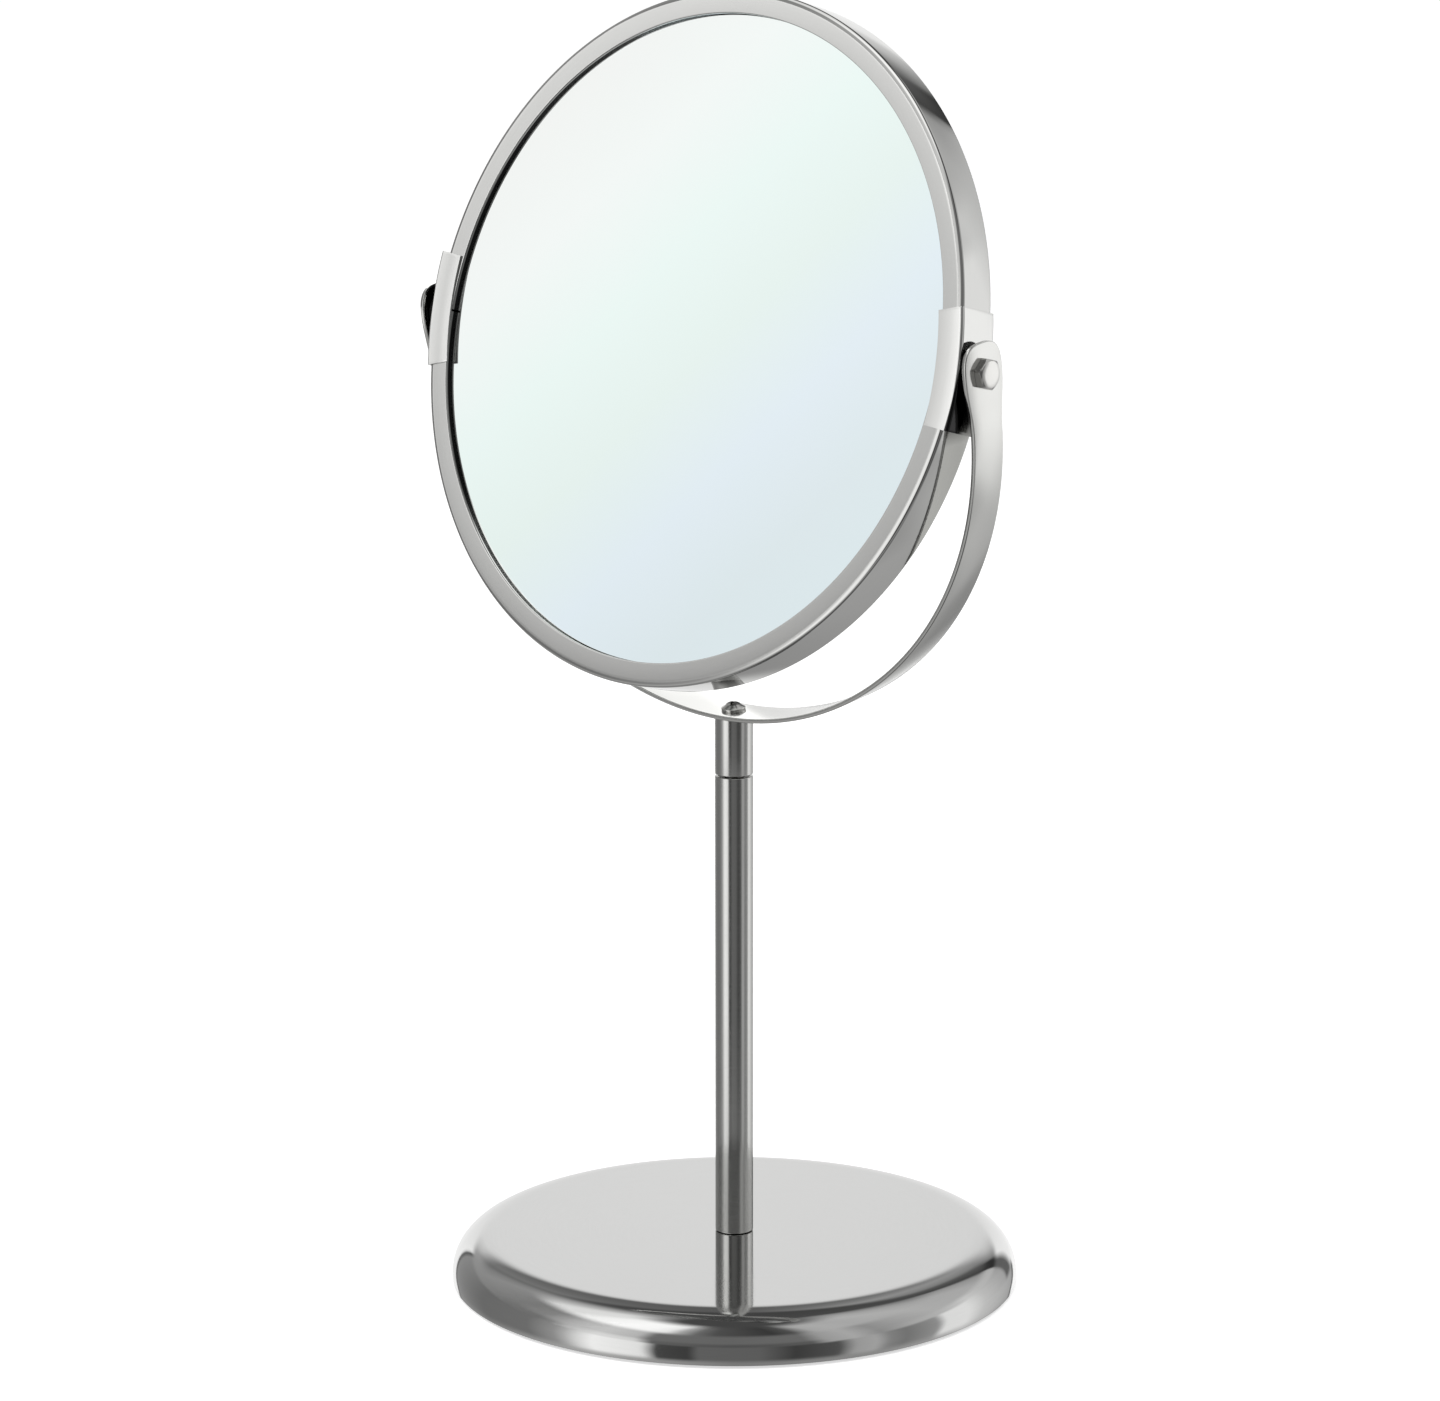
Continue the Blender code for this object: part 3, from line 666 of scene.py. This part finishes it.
def swivel_stub(material):
    """The short turned end: its foot is rounded like the tube's top, and its upper end follows the
    strap."""
    tube_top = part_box("post_tube")[1]
    radius = tube_top.x
    seam = tube_top.z + 0.5 * MM
    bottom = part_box("swivel_stub")[0].z
    spigot = 2.4 * MM
    groove = spigot - 0.6 * MM
    profile = [(spigot - 0.4 * MM, bottom), (spigot, bottom + 1.2 * MM), (groove, bottom + 1.2 * MM)]
    profile += [(groove, bottom + 2.2 * MM), (spigot, bottom + 2.2 * MM), (spigot, seam)]
    profile += [(radius - 0.2 * MM, seam)] + arc((radius - 0.2 * MM, seam + 0.2 * MM), 0.2 * MM, -75, 0, 4)
    profile += [(radius, YOKE_FOOT - 2 * MM), (radius, YOKE_FOOT), (2.0 * MM, YOKE_FOOT)]
    profile = [(0.0, bottom)] + profile + [(2.0 * MM, YOKE_FOOT - 9 * MM), (0.0, YOKE_FOOT - 9 * MM)]
    mesh = revolve("swivel_stub_turned", profile, 128, closed=False)
    slope = math.tan(YOKE_LEAN)
    for vert in mesh.vertices:
        if vert.co.z > YOKE_FOOT - 0.1 * MM:
            vert.co.z += vert.co.y * slope - 0.05 * MM
    place_piece("swivel_stub_turned", mesh, material, "yoke", ["swivel_stub"])


def strap_line(place):
    """(point, inward normal) on the strap's outer face at a signed length from its lowest point."""
    side = -1.0 if place < 0 else 1.0
    place = abs(place)
    for (start, here), (end, there) in zip(STRAP_TRACE, STRAP_TRACE[1:]):
        if place <= end:
            share = (place - start) / (end - start)
            point = here.lerp(there, share)
            break
    else:
        start, here = STRAP_TRACE[-1]
        point = here + Vector((0, place - start))
    rise = min(point.y, YOKE_DEPTH)
    angle = math.asin(max(-1.0, min(1.0, rise / YOKE_DEPTH - 1)))
    outward = Vector((math.cos(angle) / YOKE_HALF_SPAN, math.sin(angle) / YOKE_DEPTH)).normalized()
    if point.y >= YOKE_DEPTH:
        outward = Vector((1, 0))
    return Vector((side * point.x, point.y)), Vector((-side * outward.x, -outward.y))


def trace_strap():
    """(length along, point) from the strap's lowest point up one arm."""
    points = []
    for i in range(361):
        angle = math.radians(-90 + 90 * i / 360)
        points.append(Vector((YOKE_HALF_SPAN * math.cos(angle), YOKE_DEPTH * (1 + math.sin(angle)))))
    length = 0.0
    trace = [(0.0, points[0])]
    for here, there in zip(points, points[1:]):
        length += (there - here).length
        trace.append((length, there))
    return trace


STRAP_TRACE = trace_strap()
STRAP_ARM = STRAP_TRACE[-1][0] + PIVOT_RISE - YOKE_DEPTH


def strap_outline():
    """(length along, half width) from the lowest point to the tip of one ear, on the flat strap."""
    outline = []
    taper_start = STRAP_ARM - EAR_TAPER
    for i in range(90):
        outline.append((taper_start * i / 90, STRAP_HALF_WIDTH))
    for i in range(13):
        share = i / 12
        ease = share * share * (3 - 2 * share)
        half = STRAP_HALF_WIDTH + (EAR_HALF_WIDTH - STRAP_HALF_WIDTH) * ease
        outline.append((taper_start + EAR_TAPER * share, half))
    for i in range(1, 25):
        angle = math.pi / 2 * i / 24
        rise = math.sin(angle) ** (2 / EAR_FULLNESS)
        width = math.cos(angle) ** (2 / EAR_FULLNESS)
        outline.append((STRAP_ARM + EAR_RISE * rise, EAR_HALF_WIDTH * width))
    return outline


def strap_rings(outline):
    """Each outline point with the unit direction that points out of the flat strap there."""
    rings = []
    for i, (place, half) in enumerate(outline):
        before = Vector(outline[max(i - 1, 0)])
        after = Vector(outline[min(i + 1, len(outline) - 1)])
        if i == len(outline) - 1:
            normal = Vector((1, 0))
        else:
            along = (after - before).normalized()
            normal = Vector((-along.y, along.x))
        rings.append((place, half, normal))
    return rings


def strap_section():
    """(inset from the outline, depth below the outer face) round one edge of the strap, outer face to
    inner face."""
    section = []
    for i in range(5):
        angle = math.pi / 2 * i / 4
        section.append((STRAP_EDGE * (1 - math.sin(angle)), STRAP_EDGE * (1 - math.cos(angle))))
    return section + [(inset, STRAP_THICK - depth) for inset, depth in reversed(section)]


def yoke_strap():
    """The bent strap, from its flat outline: every edge is rounded, and it is then wrapped on to the
    yoke's line."""
    shape = bmesh.new()
    outline = strap_rings(strap_outline())
    other_arm = []
    for place, half, normal in reversed(outline[1:]):
        other_arm.append((-place, half, Vector((-normal.x, normal.y))))
    section = strap_section()
    rows = []
    for place, half, normal in other_arm + outline:
        row = []
        for side, order in ((1, section), (-1, section[::-1])):
            for inset, depth in order:
                flat = place - normal.x * inset
                across = side * max(half - normal.y * inset, 0.0)
                point, inward = strap_line(flat)
                point = point + inward * depth
                row.append(shape.verts.new((point.x, across, point.y)))
        rows.append(row)
    stitch(shape, rows)
    mesh = finished_mesh("yoke_strap_bent", shape)
    arm_hole = drill("arm_hole", BOLT_RADIUS + 0.15 * MM, -0.11, 0.11)
    foot_hole = drill("foot_hole", 1.8 * MM, -0.003, 0.004)
    across = turned_frame((0, 0, PIVOT_RISE), (math.pi / 2, "Y"))
    mesh = combine(mesh, ("DIFFERENCE", arm_hole, across), ("DIFFERENCE", foot_hole, WORLD_FRAME))
    place_piece("yoke_strap_bent", mesh, strap_steel(), "yoke", ["yoke_strap"], YOKE_FRAME, 40)


def yoke_screw(material):
    """A pan-head screw with a cross recess."""
    seat = STRAP_THICK + 0.05 * MM
    crown = arc((0.0, seat - 1.3 * MM), 3.4 * MM, 90, 48, 7)
    profile = crown + arc((2.75 * MM, seat + 0.55 * MM), 0.35 * MM, 40, -10, 4)
    profile += [(3.05 * MM, seat), (SCREW_SHANK, seat), (SCREW_SHANK, SCREW_TIP + 0.4 * MM)]
    profile += [(SCREW_SHANK - 0.3 * MM, SCREW_TIP), (0.0, SCREW_TIP)]
    mesh = revolve("yoke_pan_screw", profile, 96)
    changes = []
    for turn in (0.0, math.pi / 2):
        wing = [(-1.75, -0.38), (1.75, -0.38), (1.75, 0.38), (-1.75, 0.38)]
        blade = prism("recess", [(x * MM, y * MM) for x, y in wing], seat + 0.7 * MM, seat + 3 * MM)
        changes.append(("DIFFERENCE", blade, Matrix.Rotation(turn + 0.5, 4, "Z")))
    place_piece("yoke_pan_screw", combine(mesh, *changes), material, "yoke", ["yoke_screw"], YOKE_FRAME, 30)


# Mirror head


def rim_profile():
    """The rolled channel: an outer wall and two lips turned in over the glass. Its front edge eases over
    from the face, and a soft bead fills the channel under each lip; the rim's material paints it nearly
    black as shade."""
    half = HEAD_HALF_DEPTH
    inner = RIM_RADIUS - RIM_SHEET
    edge = 0.3 * MM
    front = []
    for x, y in arc((0.0, 0.0), 1.0, 90, 0, 16):
        front.append((RIM_RADIUS - RIM_EASE + x * RIM_EASE, half - RIM_ROUNDING + y * RIM_ROUNDING))
    rear = arc((RIM_RADIUS - RIM_ROUNDING, -half + RIM_ROUNDING), RIM_ROUNDING, 0, -90, 12)
    front_lip = arc((LIP_RADIUS + edge, half - edge), edge, 180, 90, 5)
    rear_lip = arc((LIP_RADIUS + edge, -half + edge), edge, 270, 180, 5)
    bead_inner = LIP_RADIUS + BEAD_INSET
    bead_outer = LIP_RADIUS + 1.6 * MM
    under_lip = half - RIM_SHEET
    bead_face = half - SILVER_DEPTH + 0.04 * MM
    bead = [(LIP_RADIUS, under_lip), (bead_inner, under_lip), (bead_inner, bead_face)]
    bead += [(bead_outer, bead_face), (bead_outer, under_lip)]
    rear_bead = [(radius, -height) for radius, height in bead]
    inside = rear_bead + [(inner, -under_lip), (inner, under_lip)] + bead[::-1]
    return front_lip + front + rear + rear_lip + inside


def rim_half(name, node, start, material):
    trim = RIM_JOINT / 2 / RIM_RADIUS
    mesh = revolve(name, rim_profile(), 180, start + trim, math.pi - 2 * trim)
    place_piece(name, mesh, material, "head", [node], HEAD_FRAME, 35)


def plain_glass(material):
    """The plain mirror. What shows is the silvering, so that is where its face is drawn."""
    front = HEAD_HALF_DEPTH - SILVER_DEPTH
    back = front - GLASS_THICK + 0.8 * MM
    profile = [(0.0, front)] + [(GLASS_RADIUS * i / 6, front) for i in range(1, 6)]
    profile += [(GLASS_RADIUS - 0.3 * MM, front), (GLASS_RADIUS, front - 0.3 * MM)]
    profile += [(GLASS_RADIUS, back), (0.0, back)]
    mesh = revolve("plain_mirror_glass", profile, 192)
    place_piece("plain_mirror_glass", mesh, material, "head", ["plain_glass"], HEAD_FRAME)


def magnifying_glass(material):
    """The slumped mirror of the other side, concave outward."""
    outer = -(HEAD_HALF_DEPTH - SILVER_DEPTH + 0.6 * MM)
    rows = 28
    hollow = []
    for i in range(rows + 1):
        share = 1 - i / rows
        hollow.append((GLASS_RADIUS * share, outer + MAGNIFIER_SAG * (1 - share * share)))
    inner = [(radius, height + 1.6 * MM) for radius, height in reversed(hollow)]
    mesh = revolve("magnifying_mirror_glass", inner + hollow, 192)
    place_piece("magnifying_mirror_glass", mesh, material, "head", ["magnifying_glass"], HEAD_FRAME)


def clip_section():
    """The folded U of a clip seen along its length: radius, and height across the head's depth."""
    leg = HEAD_HALF_DEPTH + 0.05 * MM
    outer = leg + CLIP_SHEET
    lip = LIP_RADIUS + 0.1 * MM
    web = CLIP_OUTER - CLIP_SHEET
    bend = CLIP_BEND
    front = arc((CLIP_OUTER - bend, outer - bend), bend, 90, 0, 10)
    rear = arc((CLIP_OUTER - bend, -outer + bend), bend, 0, -90, 10)
    fold = bend - CLIP_SHEET
    rear_fold = arc((web - fold, -leg + fold), fold, -90, 0, 5)
    front_fold = arc((web - fold, leg - fold), fold, 0, 90, 5)
    outside = [(lip, outer)] + front + rear + [(lip, -outer)]
    return outside + [(lip, -leg)] + rear_fold + front_fold + [(lip, leg)]


def clip_corner(sign):
    """What is cut off a clip to round an inner corner, in side view: x outward from the head's middle, y
    along."""
    end = CLIP_LENGTH / 2
    low = LIP_RADIUS - 1.6 * MM
    outline = [(low - 1 * MM, end - CLIP_CORNER)]
    outline += arc((low + CLIP_CORNER, end - CLIP_CORNER), CLIP_CORNER, 180, 90, 10)
    outline += [(low + CLIP_CORNER, end + 1 * MM), (low - 1 * MM, end + 1 * MM)]
    return [(x, sign * y) for x, y in outline]


def side_clip(label, side, material):
    """A folded saddle bent to the rim's round, held by the bolt a little askew."""
    name = f"folded_clip_{label}"
    reach = CLIP_LENGTH / 2 / CLIP_OUTER
    mesh = revolve(name, clip_section(), 40, -reach, 2 * reach)
    bore = drill("clip_bore", BOLT_RADIUS + 0.3 * MM, 0.08, 0.095)
    changes = [("DIFFERENCE", bore, Matrix.Rotation(math.pi / 2, 4, "Y"))]
    for sign in (1, -1):
        cutter = prism("clip_corner", clip_corner(sign), -9 * MM, 9 * MM)
        changes.append(("DIFFERENCE", cutter, WORLD_FRAME))
    mesh = soften_edges(combine(mesh, *changes), 0.1 * MM)
    bolt_seat = Matrix.Translation((CLIP_OUTER, 0, 0))
    mesh.transform(bolt_seat @ Matrix.Rotation(CLIP_TURN, 4, "Z") @ bolt_seat.inverted())
    placed = HEAD_FRAME if side > 0 else HEAD_FRAME @ Matrix.Rotation(math.pi, 4, "Z")
    place_piece(name, mesh, material, "head", [f"side_clip_{label}"], placed, 30)


def pivot_washer(label, side, material):
    inner = BOLT_RADIUS + 0.3 * MM
    middle = WASHER_RADIUS - WASHER_EDGE
    bottom = CLIP_OUTER + 0.2 * MM
    top = YOKE_HALF_SPAN - STRAP_THICK - 0.1 * MM
    profile = [(inner, top)] + arc((middle, top - WASHER_EDGE), WASHER_EDGE, 90, 0, 4)
    profile += arc((middle, bottom + WASHER_EDGE), WASHER_EDGE, 0, -90, 4) + [(inner, bottom)]
    name = f"friction_washer_{label}"
    mesh = revolve(name, profile, 96)
    place_piece(name, mesh, material, "head", [f"pivot_washer_{label}"], side_frame(side))


def hexagon_reach(angle, across_flats):
    """How far a hexagon with slightly rounded corners reaches from its middle, with a corner at angle 0."""
    total = 0.0
    for i in range(6):
        toward = math.cos(angle - math.pi / 6 - i * math.pi / 3)
        if toward > 0:
            total += toward**70
    return across_flats / 2 * total ** (-1 / 70)


def bolt_rings(seat):
    """(largest radius, height) of the bolt head's rings, from the seat up over the chamfer to the domed
    face."""
    corner = hexagon_reach(0.0, BOLT_HEX)
    face = BOLT_HEX / 2 * 0.95
    top = seat + BOLT_HEAD
    rings = [(corner - 0.15 * MM, seat), (corner, seat + 0.15 * MM)]
    for i in range(9):
        reach = corner + (face - corner) * i / 8
        rings.append((reach, top - 0.18 * MM - (reach - face) * math.tan(math.radians(32))))
    rings += [(face - 0.08 * MM, top - 0.07 * MM), (face - 0.25 * MM, top)]
    rings += [(face * 0.66, top + 0.05 * MM), (face * 0.33, top + 0.09 * MM)]
    return rings


def hex_bolt(label, side, material):
    """A hexagon-head bolt whose corners are turned down to a round face, with its shouldered shank."""
    name = f"hex_bolt_{label}"
    seat = YOKE_HALF_SPAN + 0.05 * MM
    steps = 144
    shape = bmesh.new()
    rows = []
    shank = [(1.25 * MM, 82.2 * MM), (1.25 * MM, 86.2 * MM), (BOLT_RADIUS, 86.2 * MM), (BOLT_RADIUS, seat)]
    for reach_limit, height in shank + bolt_rings(seat):
        row = []
        for i in range(steps):
            angle = math.tau * i / steps
            reach = min(hexagon_reach(angle, BOLT_HEX), reach_limit)
            row.append(shape.verts.new((reach * math.cos(angle), reach * math.sin(angle), height)))
        rows.append(row)
    stitch(shape, rows)
    face_of(shape, rows[0])
    tip = shape.verts.new((0, 0, seat + BOLT_HEAD + 0.1 * MM))
    for i in range(steps):
        face_of(shape, (rows[-1][i], rows[-1][(i + 1) % steps], tip))
    mesh = finished_mesh(name, shape)
    place_piece(name, mesh, material, "head", [f"pivot_bolt_{label}"], side_frame(side), 24)


# Pieces inside the object, which keep their CAD shapes


def finish_hidden_nodes():
    zinc = zinc_plate()
    nylon = moulded_plastic("natural_nylon", (0.74, 0.73, 0.69), 0.42, 0.00002)
    finishes = {
        "base_weight": cast_iron(),
        "base_washer": zinc,
        "base_bolt": zinc,
        "post_plug": zinc,
        "post_bush": nylon,
        "spigot_ring": zinc,
        "spacer_ring": nylon,
        "backing_board": grey_board(),
        "pivot_block_left": zinc,
        "pivot_block_right": zinc,
    }
    for name, material in finishes.items():
        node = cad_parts[name]
        node.data.materials.clear()
        node.data.materials.append(material)


# Studio


def studio_world():
    """What the polished steel sees: a white cove with darker and brighter stretches of studio round it.
    The camera itself sees plain near-white. Bands of the studio are listed by height, each a ramp round
    the horizon that starts and ends behind the object."""
    world = bpy.data.worlds.new("studio")
    bpy.context.scene.world = world
    world.use_nodes = True
    shader = Shader(world.node_tree)
    direction = shader.add("ShaderNodeTexCoord").outputs["Generated"]
    turn = {"Vector": direction, "Angle": -STUDIO_TURN}
    turned = shader.add("ShaderNodeVectorRotate", turn, rotation_type="Z_AXIS")
    split = shader.add("ShaderNodeSeparateXYZ", {"Vector": turned.outputs[0]}).outputs
    away = shader.maths("MULTIPLY", split["Y"], -1.0)
    around = shader.spread(shader.maths("ARCTAN2", split["X"], away), 0.0, 1.0, -math.pi, math.pi)
    height = shader.maths("MULTIPLY", shader.maths("ARCSINE", split["Z"]), 180 / math.pi)
    sky = None
    for rises, stops in STUDIO_BANDS:
        band = shader.ramp(around, [((angle + 180) / 360, level / BAND_SCALE) for angle, level in stops])
        if sky is None:
            sky = band
            continue
        node = shader.add("ShaderNodeMapRange", interpolation_type="SMOOTHSTEP")
        for key, value in {"Value": height, "From Min": rises[0], "From Max": rises[1]}.items():
            shader.feed(node.inputs[key], value)
        sky = shader.blend_colour(node.outputs[0], sky, band)
    seen = shader.add("ShaderNodeBackground", {"Color": opaque(0.985), "Strength": 1.0}).outputs[0]
    felt = shader.add("ShaderNodeBackground", {"Color": sky, "Strength": BAND_SCALE}).outputs[0]
    camera_ray = shader.add("ShaderNodeLightPath").outputs["Is Camera Ray"]
    mixed = shader.add("ShaderNodeMixShader", {0: camera_ray, 1: felt, 2: seen}).outputs[0]
    output = world.node_tree.nodes["World Output"]
    shader.feed(output.inputs["Surface"], mixed)


# The brightness that a full ramp stands for
BAND_SCALE = 1.6

# (angle in degrees round from the camera's side, brightness) for the stretch that two bands share
HORIZON = [
    (-180, 0.95), (-159, 1.1), (-154.8, 1.2), (-154.2, 0.1), (-152.6, 0.12), (-151, 0.36),
    (-120, 0.22), (-90, 0.24), (-76, 0.42), (-71, 0.62), (-65, 1.0), (-58, 1.36), (-37, 1.18),
    (-31, 0.09), (-18, 0.07), (-14, 0.18), (10, 0.17), (24, 0.07), (42, 0.12), (49, 0.5), (58, 0.56),
    (64, 0.34), (72, 0.27), (88, 0.42), (93, 1.12), (107, 1.12),
]

# (heights in degrees between which a band takes over from the one below, its stops like those of HORIZON)
STUDIO_BANDS = [
    (None, [
        (-180, 0.35), (-75, 0.3), (-60, 0.12), (60, 0.12), (75, 0.3), (110, 0.52), (135, 0.48),
        (180, 0.35),
    ]),
    ((-46, -33), [
        (-180, 0.9), (-160, 0.65), (-120, 0.35), (-60, 0.6), (0, 0.3), (60, 0.4), (90, 0.5),
        (110, 0.7), (130, 0.6), (138, 0.38), (152, 0.33), (162, 0.5), (172, 0.85), (180, 0.9),
    ]),
    ((-27, -18), HORIZON + [
        (119, 0.8), (151, 0.48), (153.4, 0.12), (155.2, 0.12), (156, 1.2), (180, 0.95),
    ]),
    ((-9, -3), HORIZON + [
        (119, 0.8), (141, 0.52), (143.5, 0.16), (149.5, 0.16), (154.5, 1.15), (180, 0.95),
    ]),
    ((13, 18), [
        (-180, 0.98), (-170, 0.95), (-163, 0.75), (-157, 0.47), (-150, 0.42), (-135, 0.38),
        (-105, 0.26), (-88, 0.25), (-80, 0.36), (-72, 0.72), (-58, 1.1), (-41, 1.0), (-34, 0.17),
        (0, 0.13), (32, 0.15), (39, 0.5), (50, 0.62), (62, 0.4), (78, 0.6), (95, 0.72), (112, 0.9),
        (124, 0.74), (142, 0.66), (142.8, 0.04), (151.5, 0.04), (152.5, 0.26), (157, 0.45),
        (163, 0.72), (170, 0.9), (180, 0.98),
    ]),
    ((20, 28), [
        (-180, 0.14), (-160, 0.26), (-154, 0.22), (-148, 0.32), (-138, 0.4), (-105, 0.3), (-88, 0.36),
        (-72, 0.72), (-58, 0.88), (-42, 0.72), (-36, 0.22), (0, 0.2), (30, 0.22), (38, 0.5),
        (50, 0.62), (62, 0.42), (78, 0.55), (95, 0.66), (126, 0.62), (139, 0.45), (143, 0.08),
        (152, 0.14), (158, 0.32), (168, 0.42), (180, 0.14),
    ]),
    ((42, 52), [
        (-180, 0.08), (-158, 0.1), (-152, 0.2), (-142, 0.5), (-130, 0.75), (-118, 1.1), (-98, 1.15),
        (-84, 1.42), (-62, 1.55), (-46, 1.5), (-36, 1.3), (-29, 0.6), (-20, 0.22), (-10, 0.12),
        (20, 0.06), (31, 0.12), (42, 0.6), (53, 0.65), (70, 0.62), (100, 0.68), (116, 0.6), (127, 0.5),
        (137, 0.3), (143, 0.1), (180, 0.08),
    ]),
    ((67, 80), [(-180, 0.09), (180, 0.09)]),
]


def glow_card(name, centre, toward, distance, size, glow, seen_by):
    """A square of light that faces centre from a distance and shows only in the pieces named in seen_by,
    on top of what they reflect already. glow(shader, x, y) is its colour at a place on the card."""
    card = square_sheet(name, size / 2)
    toward = toward.normalized()
    turn = toward.to_track_quat("Z", "Y").to_matrix().to_4x4()
    card.matrix_world = Matrix.Translation(centre + toward * distance) @ turn
    material = bpy.data.materials.new(name)
    material.use_nodes = True
    material.node_tree.nodes.clear()
    shader = Shader(material.node_tree)
    split = split_place(shader)
    colour = glow(shader, split["X"], split["Y"])
    light = shader.add("ShaderNodeEmission", {"Color": colour, "Strength": 1.0}).outputs[0]
    clear = shader.add("ShaderNodeBsdfTransparent").outputs[0]
    both = shader.add("ShaderNodeAddShader", {0: light, 1: clear}).outputs[0]
    output = shader.add("ShaderNodeOutputMaterial")
    shader.feed(output.inputs["Surface"], both)
    card.data.materials.append(material)
    card.visible_camera = False
    card.visible_shadow = False
    card.visible_diffuse = False
    receivers = bpy.data.collections.new(f"{name}_receivers")
    for piece in seen_by:
        receivers.objects.link(bpy.data.objects[piece])
    card.light_linking.receiver_collection = receivers


def studio_cards():
    """The plain mirror sees a card tinted from mint to light blue, the rim a grey one that is darker
    toward the lower right, and each clip a pale one. The strap sees a bright one behind it and a small
    one for the edge of its left ear. Its right arm and the bolt there see a faint one."""

    def tinted(shader, x, y):
        slant = shader.maths("SUBTRACT", shader.maths("MULTIPLY", x, 2.0), y)
        return shader.ramp(shader.spread(slant, 0.0, 1.0, -0.24, 0.24), CARD_TINTS)

    def grey(shader, x, y):
        slant = shader.maths("SUBTRACT", shader.maths("MULTIPLY", y, 2.2), shader.maths("MULTIPLY", x, 1.6))
        return shader.ramp(shader.spread(slant, 0.0, 1.0, -0.35, 0.35), [(0.0, 0.15), (1.0, 0.85)])

    def pale(shader, x, y):
        return shader.ramp(shader.spread(x, 0.0, 1.0, -0.1, 0.1), [(0.0, 0.56), (1.0, 0.80)])

    def fading(shader, x, y):
        return shader.ramp(shader.spread(x, 0.0, 1.0, -0.1, 0.1), [(0.0, 0.75), (1.0, 0.08)])

    def faint(shader, x, y):
        return shader.ramp(shader.spread(y, 0.0, 1.0, -0.06, 0.05), [(0.0, 0.0), (1.0, 0.26)])

    def soft_spot(shader, x, y):
        reach = flat_place(shader, x, y)[1]
        return shader.ramp(shader.spread(reach, 0.0, 1.0, 0.04, 0.06), [(0.0, 0.9), (1.0, 0.0)])

    def bright(shader, x, y):
        return shader.ramp(shader.spread(y, 0.0, 1.0, -0.3, 0.3), [(0.0, 0.0), (0.12, 1.3), (1.0, 1.3)])

    head = HEAD_FRAME.translation
    mirror_view = Vector((-0.668, -0.704, 0.190))
    rims = ["rim_upper_rolled", "rim_lower_rolled"]
    strap = ["yoke_strap_bent"]
    glow_card("mirror_card", head, mirror_view, 0.42, CARD_SIZE, tinted, ["plain_mirror_glass"])
    glow_card("rim_card", head, mirror_view, 0.43, CARD_SIZE, grey, rims)
    glow_card("clip_card_left", head, mirror_view, 0.45, CARD_SIZE, fading, ["folded_clip_left"])
    glow_card("clip_card_right", head, mirror_view, 0.44, CARD_SIZE, pale, ["folded_clip_right"])
    behind = Vector((-0.50, 0.50, 0.66))
    glow_card("strap_card", YOKE_FRAME.translation, behind, 0.6, 0.6, bright, strap)
    glow_card("arm_card", head, Vector((0.61, 0.78, -0.22)), 0.6, 0.7, faint, strap + ["hex_bolt_right"])
    left_ear = YOKE_FRAME @ Vector((-YOKE_HALF_SPAN, -EAR_HALF_WIDTH, PIVOT_RISE))
    glow_card("ear_card", left_ear, Vector((-0.903, -0.81, -0.387)), 0.3, 0.14, soft_spot, strap)


CARD_TINTS = [
    (0.0, (0.70, 0.685, 0.675)),
    (0.21, (0.69, 0.71, 0.70)),
    (0.354, (0.61, 0.695, 0.67)),
    (0.5, (0.555, 0.635, 0.61)),
    (0.646, (0.505, 0.575, 0.635)),
    (0.79, (0.45, 0.52, 0.555)),
    (1.0, (0.42, 0.505, 0.54)),
]


def floor():
    """A plain pale floor that fades into the background."""
    made = square_sheet("studio_floor", FLOOR_HALF)
    material, _, surface = new_material("pale_floor", (0.86, 0.86, 0.86), 0.9)
    surface.inputs["Specular IOR Level"].default_value = 0.0
    surface.inputs["Emission Color"].default_value = opaque(1.0)
    surface.inputs["Emission Strength"].default_value = 0.62
    made.data.materials.append(material)
    made.visible_glossy = False


def soft_light(name, location, size, power):
    """A large soft light aimed at the middle of the object, which shows in no reflection."""
    data = bpy.data.lights.new(name, "AREA")
    data.shape = "SQUARE"
    data.size = size
    data.energy = power
    light = add_object(name, data)
    light.location = location
    light.rotation_mode = "QUATERNION"
    light.rotation_quaternion = (Vector(location) - Vector((0, 0, 0.15))).to_track_quat("Z", "Y")
    light.visible_glossy = False


def camera():
    data = bpy.data.cameras.new("camera")
    data.lens = CAMERA_LENS
    data.sensor_width = 36.0
    data.clip_start = 0.05
    data.clip_end = 50.0
    made = add_object("camera", data)
    made.matrix_world = turned_frame(
        CAMERA_PLACE, (CAMERA_TURN, "Z"), (math.pi / 2 - CAMERA_DOWN, "X"), (CAMERA_ROLL, "Z")
    )
    bpy.context.scene.camera = made


def build_object():
    tube_steel = ground_tube()
    fastener = plated_bolt()
    rim = rim_steel()
    silver = mirror_silver()
    washer_nylon = black_nylon()
    finish_hidden_nodes()
    base_cover()
    base_plate()
    foot_pad()
    post_tube(tube_steel)
    swivel_stub(tube_steel)
    yoke_strap()
    yoke_screw(fastener)
    rim_half("rim_upper_rolled", "rim_upper", 0.0, rim)
    rim_half("rim_lower_rolled", "rim_lower", math.pi, rim)
    plain_glass(silver)
    magnifying_glass(silver)
    for label, side in (("left", -1), ("right", 1)):
        side_clip(label, side, clip_steel(label, side))
        pivot_washer(label, side, washer_nylon)
        hex_bolt(label, side, fastener)


def build_studio():
    studio_world()
    studio_cards()
    floor()
    soft_light("overhead_light", (0.3, -0.3, 1.8), 2.0, 14.0)
    soft_light("left_light", (-1.6, -0.8, 1.2), 1.6, 8.0)
    view = bpy.context.scene.view_settings
    view.view_transform = "Standard"
    view.look = "None"
    camera()


build_object()
build_studio()
